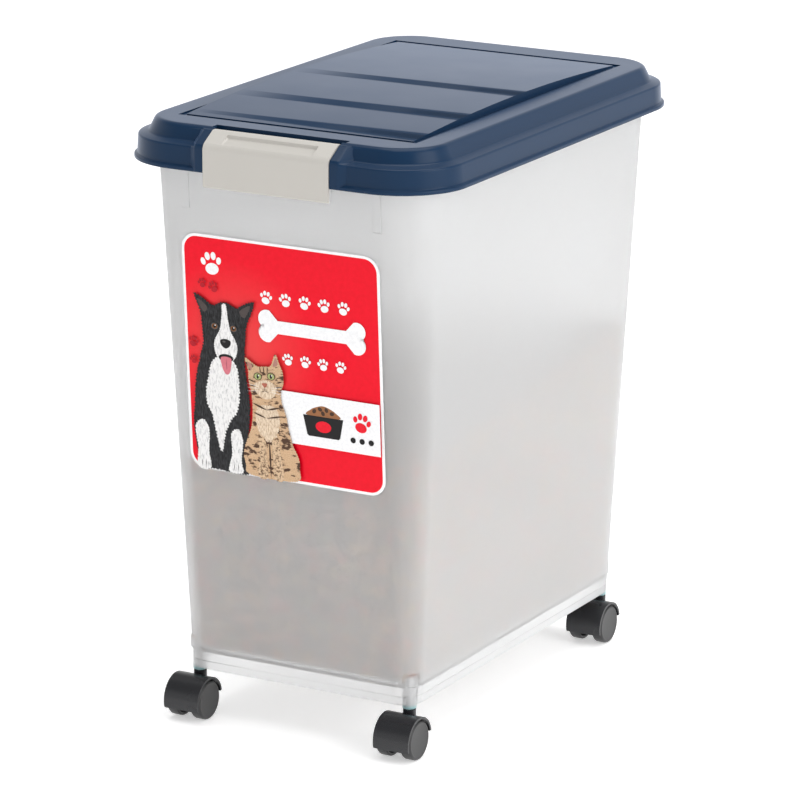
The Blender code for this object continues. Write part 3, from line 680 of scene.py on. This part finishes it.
def wheel_mesh():
    """Turned about X: a face with a raised edge bead on the outside, and an open cup behind it."""
    inner_x, outer_x, radius = 0.0060, 0.0149, WHEEL_RADIUS
    profile = (
        (0, 0.0139),
        (0.0023, 0.0139),
        (0.0023, inner_x),
        (0.0041, inner_x),
        (0.0044, inner_x + 0.0003),
        (0.0044, 0.0121),
        (0.0047, 0.0124),
        (0.0118, 0.0124),
        (0.0122, 0.0120),
        (0.0128, inner_x + 0.0004),
        (radius - 0.0012, inner_x),
        (radius - 0.0004, inner_x + 0.0003),
        (radius, inner_x + 0.0011),
        (radius, outer_x - 0.0015),
        (radius - 0.0002, outer_x - 0.0009),
        (radius - 0.0007, outer_x - 0.0003),
        (radius - 0.0014, outer_x),
        (radius - 0.0022, outer_x),
        (radius - 0.0030, outer_x - 0.0003),
        (0.0030, outer_x - 0.0004),
        (0, outer_x - 0.0004),
    )
    return turned("wheel", profile, 72, "X")


def hood_mesh():
    axle = (-TRAIL, WHEEL_RADIUS)
    start, end = HOOD_ARC
    outside = [(a, b, 0) for a, b in arc(axle, HOOD_RADIUS, start, end, 56)]
    inside = [(a, b, 0) for a, b in arc(axle, HOOD_INNER_RADIUS, end, start, 56)]
    shell = prism("hood", [point[:2] for point in (*outside, *inside)], -HOOD_HALF_WIDTH,
        HOOD_HALF_WIDTH, 0.0004)
    web = arc(axle, HOOD_INNER_RADIUS + 0.0006, start + 2, end - 2, 36)
    web += [(-TRAIL - 0.0060, WHEEL_RADIUS - 0.0075), (-TRAIL + 0.0080, WHEEL_RADIUS - 0.0075)]
    half = WEB_HALF_WIDTH
    additions = [
        prism("web", web, -half, half, 0.0003),
        rod("neck", NECK_RADIUS, 0.0240, BOSS_BOTTOM_Z - 0.0003, 40),
    ]
    cuts = [
        rod("stem_bore", 0.0037, 0.0100, BOSS_BOTTOM_Z + 0.0010, 32),
        rod("head_pocket", 0.0047, 0.0090, 0.0223, 32),
        moved(rod("axle_bore", 0.0023, -half - 0.0010, half + 0.0010, 28, "X"), 0, *axle),
    ]
    return combine(shell, ("UNION", additions), ("DIFFERENCE", cuts))


# ---------------------------------------------------------------- dry food


def food_height(x, y):
    """The heaped top of the food: higher towards the back and the right, and a little uneven."""
    along = ((-0.190, 0.2280), (-0.139, 0.2235), (-0.089, 0.2330), (-0.025, 0.2400), (0.040, 0.2490),
        (0.108, 0.2560),
             (0.200, 0.2620))
    height = along[-1][1]
    for (y0, z0), (y1, z1) in zip(along, along[1:]):
        if y < y1:
            height = z0 + (z1 - z0) * max(0.0, (y - y0) / (y1 - y0))
            break
    height += 0.12 * (x - 0.10)
    return height + 0.0035 * noise.noise(Vector((x * 28, y * 28, 4.0)))


def resample(outline, count):
    """The closed outline again with its points evenly spread."""
    ring = [Vector(point) for point in outline]
    ring.append(ring[0])
    lengths = [(b - a).length for a, b in zip(ring, ring[1:])]
    step, made, index, walked = sum(lengths) / count, [], 0, 0.0
    for number in range(count):
        target = number * step
        while walked + lengths[index] < target:
            walked += lengths[index]
            index += 1
        made.append(ring[index].lerp(ring[index + 1], (target - walked) / lengths[index]))
    return made


def food_mesh(count=330, levels=52, rings=16):
    """A closed body of food against the walls, its skin dimpled between one bit and the next."""
    clear, low_z = WALL + 0.0009, FLOOR_Z + 0.0010
    low = resample(bin_outline(BIN_BOTTOM_Z, clear), count)
    high = resample(bin_outline(BIN_TOP_Z, clear), count)
    centre = Vector((0, BIN_CENTRE_Y))

    def skin(index, z):
        share = (z - BIN_BOTTOM_Z) / (BIN_TOP_Z - BIN_BOTTOM_Z)
        place = low[index].lerp(high[index], share)
        spot = Vector((place.x, place.y, z))
        dimple = noise.voronoi(spot * 105)[0][0] * 0.0050
        return place + (centre - place).normalized() * min(dimple, 0.0040)

    builder = bmesh.new()
    sides = []
    for level in range(levels + 1):
        ring = []
        for index in range(count):
            rim = low[index].lerp(high[index], 0.5)
            top = food_height(rim.x, rim.y)
            z = low_z + 0.0020 + (top - low_z - 0.0020) * level / levels
            place = skin(index, z)
            ring.append(builder.verts.new((place.x, place.y, z)))
        sides.append(ring)
    for lower, upper in zip(sides, sides[1:]):
        bridge(builder, lower, upper)
    foot = [builder.verts.new((*(centre + (Vector(v.co[:2]) - centre) * 0.985), low_z)) for v in sides[0]]
    bridge(builder, foot, sides[0])
    builder.faces.new(foot)
    last = sides[-1]
    rim = [vertex.co.copy() for vertex in last]
    for number in range(1, rings):
        share = 1 - number / rings
        ring = []
        for corner in rim:
            place = centre + (Vector(corner[:2]) - centre) * share
            ring.append(builder.verts.new((place.x, place.y, food_height(place.x, place.y))))
        bridge(builder, last, ring)
        last = ring
    builder.faces.new(last)
    return done(builder, "dry_food_fill")


def kibble_shape(builder, place, turn, size, lobes):
    """One bit of food: a flattened, slightly lobed round."""
    made = bmesh.ops.create_icosphere(builder, subdivisions=1, radius=1.0)["verts"]
    for vertex in made:
        x, y, z = vertex.co
        around = math.atan2(y, x)
        swell = 1 + 0.13 * math.cos(lobes * around) * math.hypot(x, y)
        vertex.co = Vector((x * swell * size, y * swell * size, z * size * 0.58))
    matrix = Matrix.Translation(place) @ turn.to_4x4()
    bmesh.ops.transform(builder, matrix=matrix, verts=made)


def kibble_layer():
    """Loose bits on the heap, two deep, clear of the walls."""
    draw = random.Random(11)
    builder = bmesh.new()
    pitch = 0.0088
    for layer in range(2):
        for row in range(-24, 25):
            for column in range(-14, 15):
                x = (column + 0.5 * (row % 2) + 0.35 * layer) * pitch + draw.uniform(-0.0013, 0.0013)
                y = BIN_CENTRE_Y + (row + 0.5 * layer) * pitch + draw.uniform(-0.0013, 0.0013)
                z = food_height(x, y)
                width, length, radius = (a + (b - a) * 0.46 for a, b in zip(BIN_BOTTOM, BIN_TOP))
                margin = WALL + 0.0072
                if abs(x) > width / 2 - margin or abs(y - BIN_CENTRE_Y) > length / 2 - margin:
                    continue
                corner_x = abs(x) - (width / 2 - radius)
                corner_y = abs(y - BIN_CENTRE_Y) - (length / 2 - radius)
                if corner_x > 0 and corner_y > 0 and math.hypot(corner_x, corner_y) > radius - margin:
                    continue
                if layer and draw.random() < 0.45:
                    continue
                tilt = Euler((draw.uniform(-0.6, 0.6), draw.uniform(-0.6, 0.6), draw.uniform(0, 6.3)))
                place = Vector((x, y, z + 0.0012 + 0.0040 * layer))
                kibble_shape(builder, place, tilt.to_matrix(), draw.uniform(0.0042, 0.0052),
                    draw.choice((3, 4, 4)))
    return done(builder, "dry_food_bits")


# ---------------------------------------------------------------- label


def spline(points, per=5):
    """A closed smooth curve through points."""
    made = []
    count = len(points)
    for index in range(count):
        p0, p1, p2, p3 = (Vector(points[(index + shift) % count]) for shift in (-1, 0, 1, 2))
        for step in range(per):
            t = step / per
            a = 2 * p1 + (p2 - p0) * t + (2 * p0 - 5 * p1 + 4 * p2 - p3) * t * t
            made.append(tuple((a + (3 * p1 - p0 - 3 * p2 + p3) * t**3) / 2))
    return made


def furry(points, reach, spacing, seed):
    """An outline broken up into short tufts."""
    length = sum((Vector(a) - Vector(b)).length for a, b in zip(points, points[1:] + points[:1]))
    ring = resample(points, max(12, int(length / spacing)))
    draw = random.Random(seed)
    made = []
    for index, here in enumerate(ring):
        along = (ring[(index + 1) % len(ring)] - ring[index - 1]).normalized()
        out = Vector((along.y, -along.x)) * reach * (draw.uniform(0.2,
            1.0) if index % 2 else draw.uniform(-0.7, 0.0))
        made.append(tuple(here + out))
    return made


def disc(centre, radius_u, radius_v=None, turn=0.0, steps=28):
    radius_v = radius_v or radius_u
    made = []
    for step in range(steps):
        angle = 2 * math.pi * step / steps
        u, v = radius_u * math.cos(angle), radius_v * math.sin(angle)
        made.append((centre[0] + u * math.cos(turn) - v * math.sin(turn),
            centre[1] + u * math.sin(turn) + v * math.cos(turn)))
    return made


def stroke(start, end, width):
    """A thin spindle from one point to another."""
    start, end = Vector(start), Vector(end)
    along = end - start
    side = Vector((-along.y, along.x)).normalized() * width / 2
    middle = (start + end) / 2
    return spline([tuple(start), tuple(middle + side), tuple(end), tuple(middle - side)], 6)


class Print:
    """Flat shapes in label millimetres, each a thin closed slab a little above the one before."""

    def __init__(self, name, base):
        self.name, self.level, self.builder = name, base, bmesh.new()
        self.materials = []

    def add(self, outline, material, lift=0.00002):
        if material not in self.materials:
            self.materials.append(material)
        low, self.level = self.level - 0.00001, self.level + lift
        rings = [[self.builder.verts.new((u / 1000, v / 1000, z)) for u, v in outline] for z in (low,
            self.level)]
        bridge(self.builder, *rings)
        self.builder.faces.new(rings[0])
        self.builder.faces.new(rings[1])
        self.builder.faces.ensure_lookup_table()
        for face in self.builder.faces[-len(outline) - 2:]:
            face.material_index = self.materials.index(material)

    def same_level(self, outlines, material):
        level = self.level
        highest = level
        for outline in outlines:
            self.level = level
            self.add(outline, material)
            highest = self.level
        self.level = highest


def paw(centre, size, turn=0.0):
    """One pad and four toes."""
    parts = [((0.0, -0.30), 0.42, 0.33), ((-0.50, 0.14), 0.15, 0.21), ((-0.19, 0.42), 0.16, 0.23),
             ((0.19, 0.42), 0.16, 0.23), ((0.50, 0.14), 0.15, 0.21)]
    made = []
    for (u, v), radius_u, radius_v in parts:
        place = (centre[0] + size * (u * math.cos(turn) - v * math.sin(turn)),
                 centre[1] + size * (u * math.sin(turn) + v * math.cos(turn)))
        made.append(disc(place, radius_u * size, radius_v * size, turn - u * 0.5))
    return made


def stamp_paw(art, ink, centre, size, turn=0.0):
    """Prints one paw, each pad a little above the one before."""
    for outline in paw(centre, size, turn):
        art.same_level([outline], ink)


def bone(left, right, height):
    """A plain bone lying between two ends."""
    middle, knob, bar = (left[1] + right[1]) / 2, height * 0.29, height * 0.20
    u0, u1 = left[0] + knob, right[0] - knob
    outline = []
    for u, v, start in ((u1, middle - height / 2 + knob, -110), (u1, middle + height / 2 - knob, -70),
                        (u0, middle + height / 2 - knob, 70), (u0, middle - height / 2 + knob, 110)):
        for step in range(13):
            angle = math.radians(start + 180 * step / 12)
            outline.append((u + knob * math.cos(angle), v + knob * math.sin(angle)))
        if (u, v > middle) in ((u1, True), (u0, False)):
            side = 1 if v > middle else -1
            for share in (0.12, 0.5, 0.88):
                along = u1 + (u0 - u1) * share if side > 0 else u0 + (u1 - u0) * share
                outline.append((along, middle + side * bar))
    return outline


def fur_material(name, dark, light, across, along, contrast=(0.35, 0.65)):
    """Printed fur: short streaks that run mostly up and down."""
    nodes = Nodes(name, Roughness=0.34, Specular_IOR_Level=0.2)
    scale = nodes.add("ShaderNodeMapping", {"Vector": nodes.place, "Scale": (across, along, across)})
    streak = nodes.noise(1.0, 5.0, 0.7, scale.outputs["Vector"])
    nodes.set("Base Color", nodes.ramp(streak, (contrast[0], dark), (contrast[1], light)))
    nodes.set("Roughness", nodes.spread(nodes.noise(45.0, 3.0, 0.5), 0.30, 0.40, 0.3, 0.7))
    return nodes.material


def tabby_material():
    """Printed tan fur with broken dark bands."""
    nodes = Nodes("print_tabby", Roughness=0.34, Specular_IOR_Level=0.2)
    base = nodes.ramp(nodes.noise(1500.0, 4.0, 0.7), (0.3, (0.42, 0.235, 0.115)), (0.7, (0.74, 0.53, 0.34)))
    squash = nodes.add("ShaderNodeMapping", {"Vector": nodes.place, "Scale": (150.0, 330.0, 150.0)})
    bands = nodes.noise(1.0, 3.0, 0.55, squash.outputs["Vector"])
    mask = nodes.spread(bands, 0.0, 1.0, 0.53, 0.60)
    nodes.set("Base Color", nodes.mix(mask, base, (0.075, 0.036, 0.020)))
    nodes.set("Roughness", nodes.spread(nodes.noise(45.0, 3.0, 0.5), 0.30, 0.40, 0.3, 0.7))
    return nodes.material


def field_material():
    """The label's red, lighter behind the animals."""
    nodes = Nodes("label_red", Roughness=0.32, Specular_IOR_Level=0.15)
    split = nodes.add("ShaderNodeVectorMath", {0: nodes.place, 1: (-0.040, 0.005, 0.0)},
        operation="DISTANCE")
    glow = nodes.spread(split.outputs["Value"], 1.0, 0.0, 0.015, 0.070)
    tone = nodes.ramp(nodes.noise(240.0, 4.0, 0.6), (0.35, (0.775, 0.0018, 0.0150)),
        (0.65, (0.825, 0.0026, 0.0190)))
    nodes.set("Base Color", nodes.mix(glow, tone, (0.80, 0.050, 0.052)))
    nodes.set("Roughness", nodes.spread(nodes.noise(45.0, 3.0, 0.5), 0.28, 0.38, 0.3, 0.7))
    return nodes.material


def draw_dog(art, inks):
    coat = [(-60, -90), (-72, -90), (-77, -72), (-78.5, -55), (-77, -38), (-75, -20), (-71, -4), (-67.5, 8),
            (-68, 22), (-69, 33), (-74, 46), (-66.5, 43.5), (-58, 38.5), (-51, 41.5), (-44, 41.5),
            (-37.5, 38.5),
            (-30.5, 42.5), (-22, 45), (-25.5, 34), (-29.5, 24), (-31, 10), (-32, -4), (-30.5, -18),
            (-29, -34),
            (-30, -52), (-33, -70), (-31, -90)]
    art.add(furry(spline(coat), 0.9, 1.2, 3), inks["black fur"])
    for ear in ([(-71.5, 42), (-67, 40.5), (-62.5, 36), (-66, 32.5)],
            [(-25.5, 41.5), (-30, 40), (-35, 36), (-30.5, 32)]):
        art.add(furry(spline(ear), 0.35, 0.8, 5), inks["ear"])
    chest = [(-60, -5), (-64.5, -20), (-66.5, -36), (-62, -47), (-59, -60), (-55, -76), (-51, -60),
        (-46, -50), (-40, -42),
             (-37.5, -26), (-38.5, -10), (-44, -1), (-52, 0)]
    art.add(furry(spline(chest), 1.1, 1.3, 7), inks["white fur"])
    for leg in ([(-77, -58), (-70, -52), (-65, -60), (-66, -76), (-65, -90), (-76, -90), (-75.5, -75)],
                [(-46, -60), (-39, -56), (-36, -66), (-38, -80), (-37, -90), (-49, -90), (-46, -76)]):
        art.add(furry(spline(leg), 0.6, 1.1, 9), inks["white fur"])
    for toe in (-72.5, -69, -44.5, -41):
        art.add(stroke((toe, -83.5), (toe + 0.3, -89.6), 0.5), inks["ear"])
    blaze = [(-49.5, 40), (-46.2, 40), (-45, 30), (-43, 20), (-38.5, 12), (-38, 4), (-42, -3),
        (-48, -6), (-54, -3),
             (-57.5, 4), (-57, 12), (-52.5, 20), (-50.5, 30)]
    art.add(furry(spline(blaze), 0.4, 0.9, 11), inks["white fur"])
    art.add(disc((-47.8, -1.2), 6.4, 3.0), inks["black"])
    art.add(spline([(-52, -1), (-51.6, -8), (-49, -13.5), (-45.6, -13.2), (-43.8, -7.5), (-43.8, -1)]),
        inks["pink"])
    art.add(stroke((-47.7, -2), (-47.5, -10.5), 0.6), inks["deep pink"])
    art.add(spline([(-56.5, 3), (-52, 1.2), (-47.8, 3.4), (-43.6, 1.2), (-39.2, 3), (-41, 6),
        (-47.8, 7.4), (-55, 6)]), inks["white fur"])
    art.add(spline([(-52.2, 12.2), (-47.8, 13.6), (-43.4, 12.2), (-44.2, 8.4), (-47.8, 6.2),
        (-51.4, 8.4)]), inks["black"])
    art.add(disc((-49.0, 11.4), 1.3, 0.7), inks["grey"])
    for u in (-56.6, -40.4):
        art.same_level([disc((u, 22.5), 3.0, 2.5)], inks["grey"])
        art.add(disc((u, 22.5), 2.4, 2.0), inks["amber"])
        art.add(disc((u, 22.5), 1.25), inks["black"])
        art.add(disc((u + 0.6, 23.3), 0.45), inks["white"])


def draw_cat(art, inks):
    coat = [(-30, -90), (-34, -82), (-35.5, -73), (-32, -62), (-28, -52), (-26.5, -42), (-26.5, -31),
        (-27.5, -23),
            (-29, -15), (-29, -8), (-31.5, 1.5), (-25.5, -1.6), (-20.5, -4), (-14, -3), (-9.5, -2),
            (-5.4, 7.5), (-1.8, 0),
            (1, -7), (0.8, -15), (-1.5, -22), (-1, -30), (2.5, -40), (4.5, -52), (7.5, -62),
            (11.8, -71), (12.6, -80),
            (9, -90)]
    art.add(furry(spline(coat), 0.5, 1.0, 13), inks["tabby"])
    for ear in ([(-29.8, -1.6), (-25.6, -3.4), (-26.8, -8)], [(-5.2, 4.6), (-3.4, -0.4), (-7.6, -2.2)]):
        art.add(spline(ear), inks["ear pink"])
    for patch in ([(-22, -36), (-13, -33), (-5, -36), (-3.5, -48), (-8, -60), (-14, -62), (-20, -58),
            (-24, -46)],):
        art.add(furry(spline(patch), 0.7, 1.1, 15), inks["cream fur"])
    for leg in ([(-22, -58), (-16.5, -60), (-15.6, -72), (-15.2, -90), (-23.5, -90), (-21.5, -74)],
                [(-10.5, -60), (-5, -58), (-3.5, -70), (-1.5, -90), (-9.5, -90), (-10.2, -74)]):
        art.add(furry(spline(leg), 0.45, 1.0, 17), inks["tabby light"])
    art.add(stroke((-12.9, -60), (-12.4, -90), 1.5), inks["stripe"])
    for toe in (-20.4, -17.6, -7.4, -4.4):
        art.add(stroke((toe, -85.6), (toe, -89.8), 0.45), inks["stripe"])
    face = [(-24.5, -19), (-20, -15.5), (-14.5, -13.8), (-9, -15), (-4.6, -18.5), (-7, -25.5),
        (-14, -28.6), (-21.5, -25.5)]
    art.add(furry(spline(face), 0.4, 0.9, 19), inks["cream fur"])
    for start, end, width in (((-19, -3.8), (-18, -9), 0.8), ((-15.6, -3.2), (-15.3, -9.4), 0.8),
        ((-12.2, -3), (-12.6, -8.8), 0.8),
                              ((-28.6, -15), (-23, -16.5), 0.9), ((-28, -19.5), (-22.6, -19.6), 0.8),
                              ((0.4, -13), (-5, -14.8), 0.9),
                              ((-0.2, -17.5), (-5.6, -18), 0.8), ((-26, -33), (-14, -37), 1.3),
                              ((-14, -37), (-1.5, -33.5), 1.3),
                              ((-26, -40), (-15, -43.4), 1.1), ((-14, -43.4), (0.5, -40), 1.1)):
        art.add(stroke(start, end, width), inks["stripe"])
    for u, v in ((-20.6, -11.6), (-9.2, -10.2)):
        art.add(disc((u, v), 3.5, 2.9), inks["stripe"])
        art.add(disc((u, v), 2.9, 2.4), inks["green"])
        art.add(disc((u, v), 1.0, 1.8), inks["black"])
        art.add(disc((u + 0.7, v + 0.8), 0.45), inks["white"])
    art.add(spline([(-17.2, -16.6), (-12.6, -16.2), (-14.7, -19.6)]), inks["nose"])
    art.add(stroke((-14.8, -19.4), (-14.8, -22.2), 0.5), inks["stripe"])
    art.add(stroke((-14.8, -22), (-18.2, -23.4), 0.5), inks["stripe"])
    art.add(stroke((-14.8, -22), (-11.6, -23), 0.5), inks["stripe"])
    for v, rise in ((-19.6, 1.6), (-21, 0.0), (-22.4, -1.6)):
        art.add(stroke((-19, v), (-30, v + rise), 0.22), inks["white"])
        art.add(stroke((-10.4, v + 0.3), (0.6, v + rise + 0.6), 0.22), inks["white"])


def draw_signs(art, inks):
    """Where the label has its lettering and mark: paw prints, a bone and a bowl, all plain."""
    stamp_paw(art, inks["white"], (-58.5, 70), 13.5, 0.12)
    for index in range(5):
        stamp_paw(art, inks["white"], (-12.5 + 16.4 * index, 49.5), 7.8, 0.18 if index % 2 else -0.18)
    art.add(bone((-19.5, 28), (71, 28), 25), inks["white"])
    for index in range(4):
        stamp_paw(art, inks["white"], (4.5 + 15 * index, 4.2), 7.0, -0.18 if index % 2 else 0.18)
    for (u, v), size, turn in (((-57, 52.5), 6.5, 0.5), ((-66.5, 54.5), 5.5, 0.2),
            ((-76, 8), 6.5, -0.3), ((-76.5, -6), 5.0, 0.3)):
        stamp_paw(art, inks["faint red"], (u, v), size, turn)
    art.add([(-5, -60.2), (81.3, -60.2), (81.3, -20), (-5, -20)], inks["white"])
    heap = [(20, -36), (23, -31.5), (28, -29), (33.5, -27.6), (39, -29), (44, -31.5), (47, -36)]
    art.add(spline(heap), inks["food"])
    for u, v in ((26, -32.4), (31, -30.4), (36.4, -30.4), (41, -32.6), (33.4, -33.4)):
        art.add(disc((u, v), 1.9, 1.5, u), inks["stripe"])
    art.add([(16.5, -36), (50.5, -36), (47.4, -50.8), (46.2, -52), (20.8, -52), (19.6, -50.8)],
        inks["black"])
    art.same_level([disc((33.5, -43.8), 6.6, 4.4)], inks["label red"])
    stamp_paw(art, inks["label red"], (66, -36.5), 11.5, -0.2)
    for u in (58.4, 66, 73.6):
        art.add(disc((u, -50.4), 2.2), inks["black"])


def label_inks():
    flat = {
        "white": (0.86, 0.86, 0.87), "black": (0.0090, 0.0085, 0.0090), "pink": (0.62, 0.17, 0.21),
            "deep pink": (0.36, 0.07, 0.10),
        "grey": (0.085, 0.080, 0.078), "ear": (0.070, 0.055, 0.052), "ear pink": (0.40, 0.20, 0.16),
            "amber": (0.165, 0.060, 0.016),
        "green": (0.36, 0.40, 0.16), "nose": (0.42, 0.13, 0.085), "stripe": (0.060, 0.030, 0.018),
            "faint red": (0.42, 0.006, 0.016),
        "food": (0.30, 0.125, 0.050), "label red": (0.76, 0.004, 0.020),
    }
    inks = {key: printed("print_" + key.replace(" ", "_"), colour, 0.06, 500.0,
        Specular_IOR_Level=0.2) for key, colour in flat.items()}
    inks["black fur"] = fur_material("print_black_fur", (0.0040, 0.0040, 0.0045),
        (0.040, 0.040, 0.044), 900.0, 220.0, (0.40, 0.68))
    inks["white fur"] = fur_material("print_white_fur", (0.30, 0.30, 0.31), (0.82, 0.81, 0.80), 900.0,
        200.0, (0.30, 0.50))
    inks["cream fur"] = fur_material("print_cream_fur", (0.42, 0.27, 0.16), (0.80, 0.66, 0.50), 1100.0,
        300.0, (0.34, 0.58))
    inks["tabby"] = tabby_material()
    inks["tabby light"] = fur_material("print_tan_fur", (0.14, 0.075, 0.040), (0.66, 0.47, 0.30),
        420.0, 520.0, (0.40, 0.52))
    return inks


# ---------------------------------------------------------------- making


def show_cad_node(name, material):
    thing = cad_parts[name]
    thing.data.materials.clear()
    thing.data.materials.append(material)


def make_bin_and_lid():
    frosted = frosted_material()
    navy = moulded("navy_plastic", (0.0040, 0.0235, 0.0620), 0.03, 0.29, Specular_IOR_Level=0.20,
                  Sheen_Weight=0.30, Sheen_Roughness=0.30, Sheen_Tint=(0.45, 0.62, 1.0, 1.0))
    grey = moulded("latch_plastic", (0.510, 0.490, 0.455), 0.012, 0.42, Specular_IOR_Level=0.30)
    piece("bin_shell", bin_mesh(), frosted, "bin", ["bin"])
    piece("lid_shell", lid_mesh(), navy, "lid", ["lid"])
    piece("lid_seal", gasket_mesh(), foam_material(), "lid", ["lid_gasket"])
    piece("latch_flap", latch_mesh(), grey, "latch", ["latch"])


def make_casters():
    black = moulded("caster_plastic", (0.0110, 0.0115, 0.0140), 0.10, 0.27)
    tread = moulded("wheel_plastic", (0.0200, 0.0200, 0.0210), 0.08, 0.38)
    steel = steel_material()
    hood, wheel = hood_mesh(), wheel_mesh()
    for place, x, y in stem_places():
        name = f"caster_{place}"
        own = hood.copy()
        own.transform(Matrix.Translation((x, y, 0)))
        piece(f"{name}_cover", own, black, name, [f"{name}_hood"])
        for side, turn in (("left", math.pi), ("right", 0.0)):
            own = wheel.copy()
            own.transform(Matrix.Translation((x, y - TRAIL, WHEEL_RADIUS)) @ Matrix.Rotation(turn, 4, "Z"))
            body = f"{name}_wheel_{side}"
            piece(f"{name}_disc_{side}", own, tread, body, [f"{name}_wheel_{side}"])
        for part in ("stem", "grip_ring", "axle"):
            show_cad_node(f"{name}_{part}", steel)


def make_food():
    food = kibble_material()
    piece("dry_food_fill", food_mesh(), food, "bin", degrees=50)
    piece("dry_food_bits", kibble_layer(), food, "bin", degrees=60)


def make_label():
    white = printed("label_film", (0.86, 0.86, 0.87))
    half = ((LABEL_X[1] - LABEL_X[0]) / 2, (LABEL_Z[1] - LABEL_Z[0]) / 2)
    outline = rounded_outline(2 * half[0], 2 * half[1], LABEL_CORNER, steps=16)
    inner = rounded_outline(2 * half[0] - 0.0002, 2 * half[1] - 0.0002, LABEL_CORNER - 0.0001, steps=16)
    film = loft("label_sheet", [(outline, 0.0), (outline, 0.0003), (inner, 0.0004)])
    middle_z = sum(LABEL_Z) / 2
    lean = math.atan2(front_wall_y(LABEL_Z[0]) - front_wall_y(LABEL_Z[1]), 2 * half[1])
    place = Matrix.Translation((sum(LABEL_X) / 2, front_wall_y(middle_z) - 0.0003, middle_z))
    place = place @ Matrix.Rotation(math.pi / 2 + lean, 4, "X")
    film.transform(place)
    piece("label_sheet", film, white, "bin", ["label"])
    field = Print("label_field", 0.0004)
    edge = 0.0022
    ring = rounded_outline(2 * (half[0] - edge), 2 * (half[1] - edge), LABEL_CORNER - edge, steps=16)
    field.add([(u * 1000, v * 1000) for u, v in ring], field_material())
    inks = label_inks()
    for name, draw in (("label_signs", draw_signs), ("label_dog", draw_dog), ("label_cat", draw_cat)):
        art = Print(name, field.level)
        draw(art, inks)
        field_print(art, place)
        field.level = art.level
    field_print(field, place)


def field_print(art, place):
    mesh = done(art.builder, art.name)
    smooth(mesh, 30)
    for material in art.materials:
        mesh.materials.append(material)
    thing = bpy.data.objects.new(art.name, mesh)
    bpy.context.scene.collection.objects.link(thing)
    thing.matrix_world = place
    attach(thing, "bin")


# ---------------------------------------------------------------- studio


def make_camera():
    azimuth, elevation, roll = (math.radians(angle) for angle in (29.0128, 15.5543, 0.2515))
    distance, target_z, shift_x = 3.47938, 0.22286, 0.003945
    back = Vector((math.sin(azimuth) * math.cos(elevation), -math.cos(azimuth) * math.cos(elevation),
        math.sin(elevation)))
    right = (-back).cross(Vector((0, 0, 1))).normalized()
    up = right.cross(-back)
    level_right = right * math.cos(roll) + up * math.sin(roll)
    level_up = up * math.cos(roll) - right * math.sin(roll)
    place = Vector((0, 0, target_z)) + back * distance - level_right * shift_x
    data = bpy.data.cameras.new("camera")
    data.lens, data.sensor_width = 202.586, 36.0
    data.clip_start, data.clip_end = 0.05, 50.0
    camera = bpy.data.objects.new("camera", data)
    bpy.context.scene.collection.objects.link(camera)
    turn = Matrix((level_right, level_up, back)).transposed().to_4x4()
    camera.matrix_world = Matrix.Translation(place) @ turn
    bpy.context.scene.camera = camera


def area_light(name, place, aim, size, power, colour=(1, 1, 1)):
    data = bpy.data.lights.new(name, "AREA")
    data.shape, data.size, data.size_y = "RECTANGLE", size[0], size[1]
    data.energy, data.color = power, colour
    light = bpy.data.objects.new(name, data)
    bpy.context.scene.collection.objects.link(light)
    light.location = place
    light.rotation_euler = (Vector(aim) - Vector(place)).to_track_quat("-Z", "Y").to_euler()


def make_studio():
    scene = bpy.context.scene
    scene.view_settings.view_transform = "Standard"
    world = bpy.data.worlds.new("studio")
    world.use_nodes = True
    tree = world.node_tree
    surround, backdrop = tree.nodes["Background"], tree.nodes.new("ShaderNodeBackground")
    direction = tree.nodes.new("ShaderNodeTexCoord").outputs["Generated"]
    split = tree.nodes.new("ShaderNodeSeparateXYZ")
    tree.links.new(direction, split.inputs["Vector"])
    fall = tree.nodes.new("ShaderNodeMapRange")
    fall.interpolation_type = "SMOOTHSTEP"
    for key, value in (("From Min", 0.30), ("From Max", 0.62), ("To Min", 0.97), ("To Max", 0.42)):
        fall.inputs[key].default_value = value
    tree.links.new(split.outputs["Z"], fall.inputs["Value"])
    tree.links.new(fall.outputs["Result"], surround.inputs["Strength"])
    for node in (surround, backdrop):
        node.inputs["Color"].default_value = (1, 1, 1, 1)
    backdrop.inputs["Strength"].default_value = 1.10
    scene.world = world
    path = tree.nodes.new("ShaderNodeLightPath")
    mixer = tree.nodes.new("ShaderNodeMixShader")
    tree.links.new(path.outputs["Is Camera Ray"], mixer.inputs["Fac"])
    tree.links.new(surround.outputs[0], mixer.inputs[1])
    tree.links.new(backdrop.outputs[0], mixer.inputs[2])
    tree.links.new(mixer.outputs[0], tree.nodes["World Output"].inputs["Surface"])
    area_light("key_right", (2.5, -0.3, 1.3), (0, 0, 0.25), (2.0, 2.0), 36)
    area_light("overhead", (0.2, 0.2, 3.0), (0, 0, 0.3), (2.6, 2.6), 55)
    builder = bmesh.new()
    for corner in ((-8, -8), (8, -8), (8, 8), (-8, 8)):
        builder.verts.new((*corner, -0.0002))
    builder.faces.new(builder.verts)
    mesh = bpy.data.meshes.new("floor")
    builder.to_mesh(mesh)
    builder.free()
    floor = bpy.data.objects.new("floor", mesh)
    scene.collection.objects.link(floor)
    paper = printed("floor_paper", (0.93, 0.93, 0.93), 0.005, 3.0, 0.7)
    paper.node_tree.nodes["Principled BSDF"].inputs["Emission Color"].default_value = (1, 1, 1, 1)
    paper.node_tree.nodes["Principled BSDF"].inputs["Emission Strength"].default_value = 0.42
    mesh.materials.append(paper)


make_camera()
make_studio()
make_bin_and_lid()
make_casters()
make_food()
make_label()
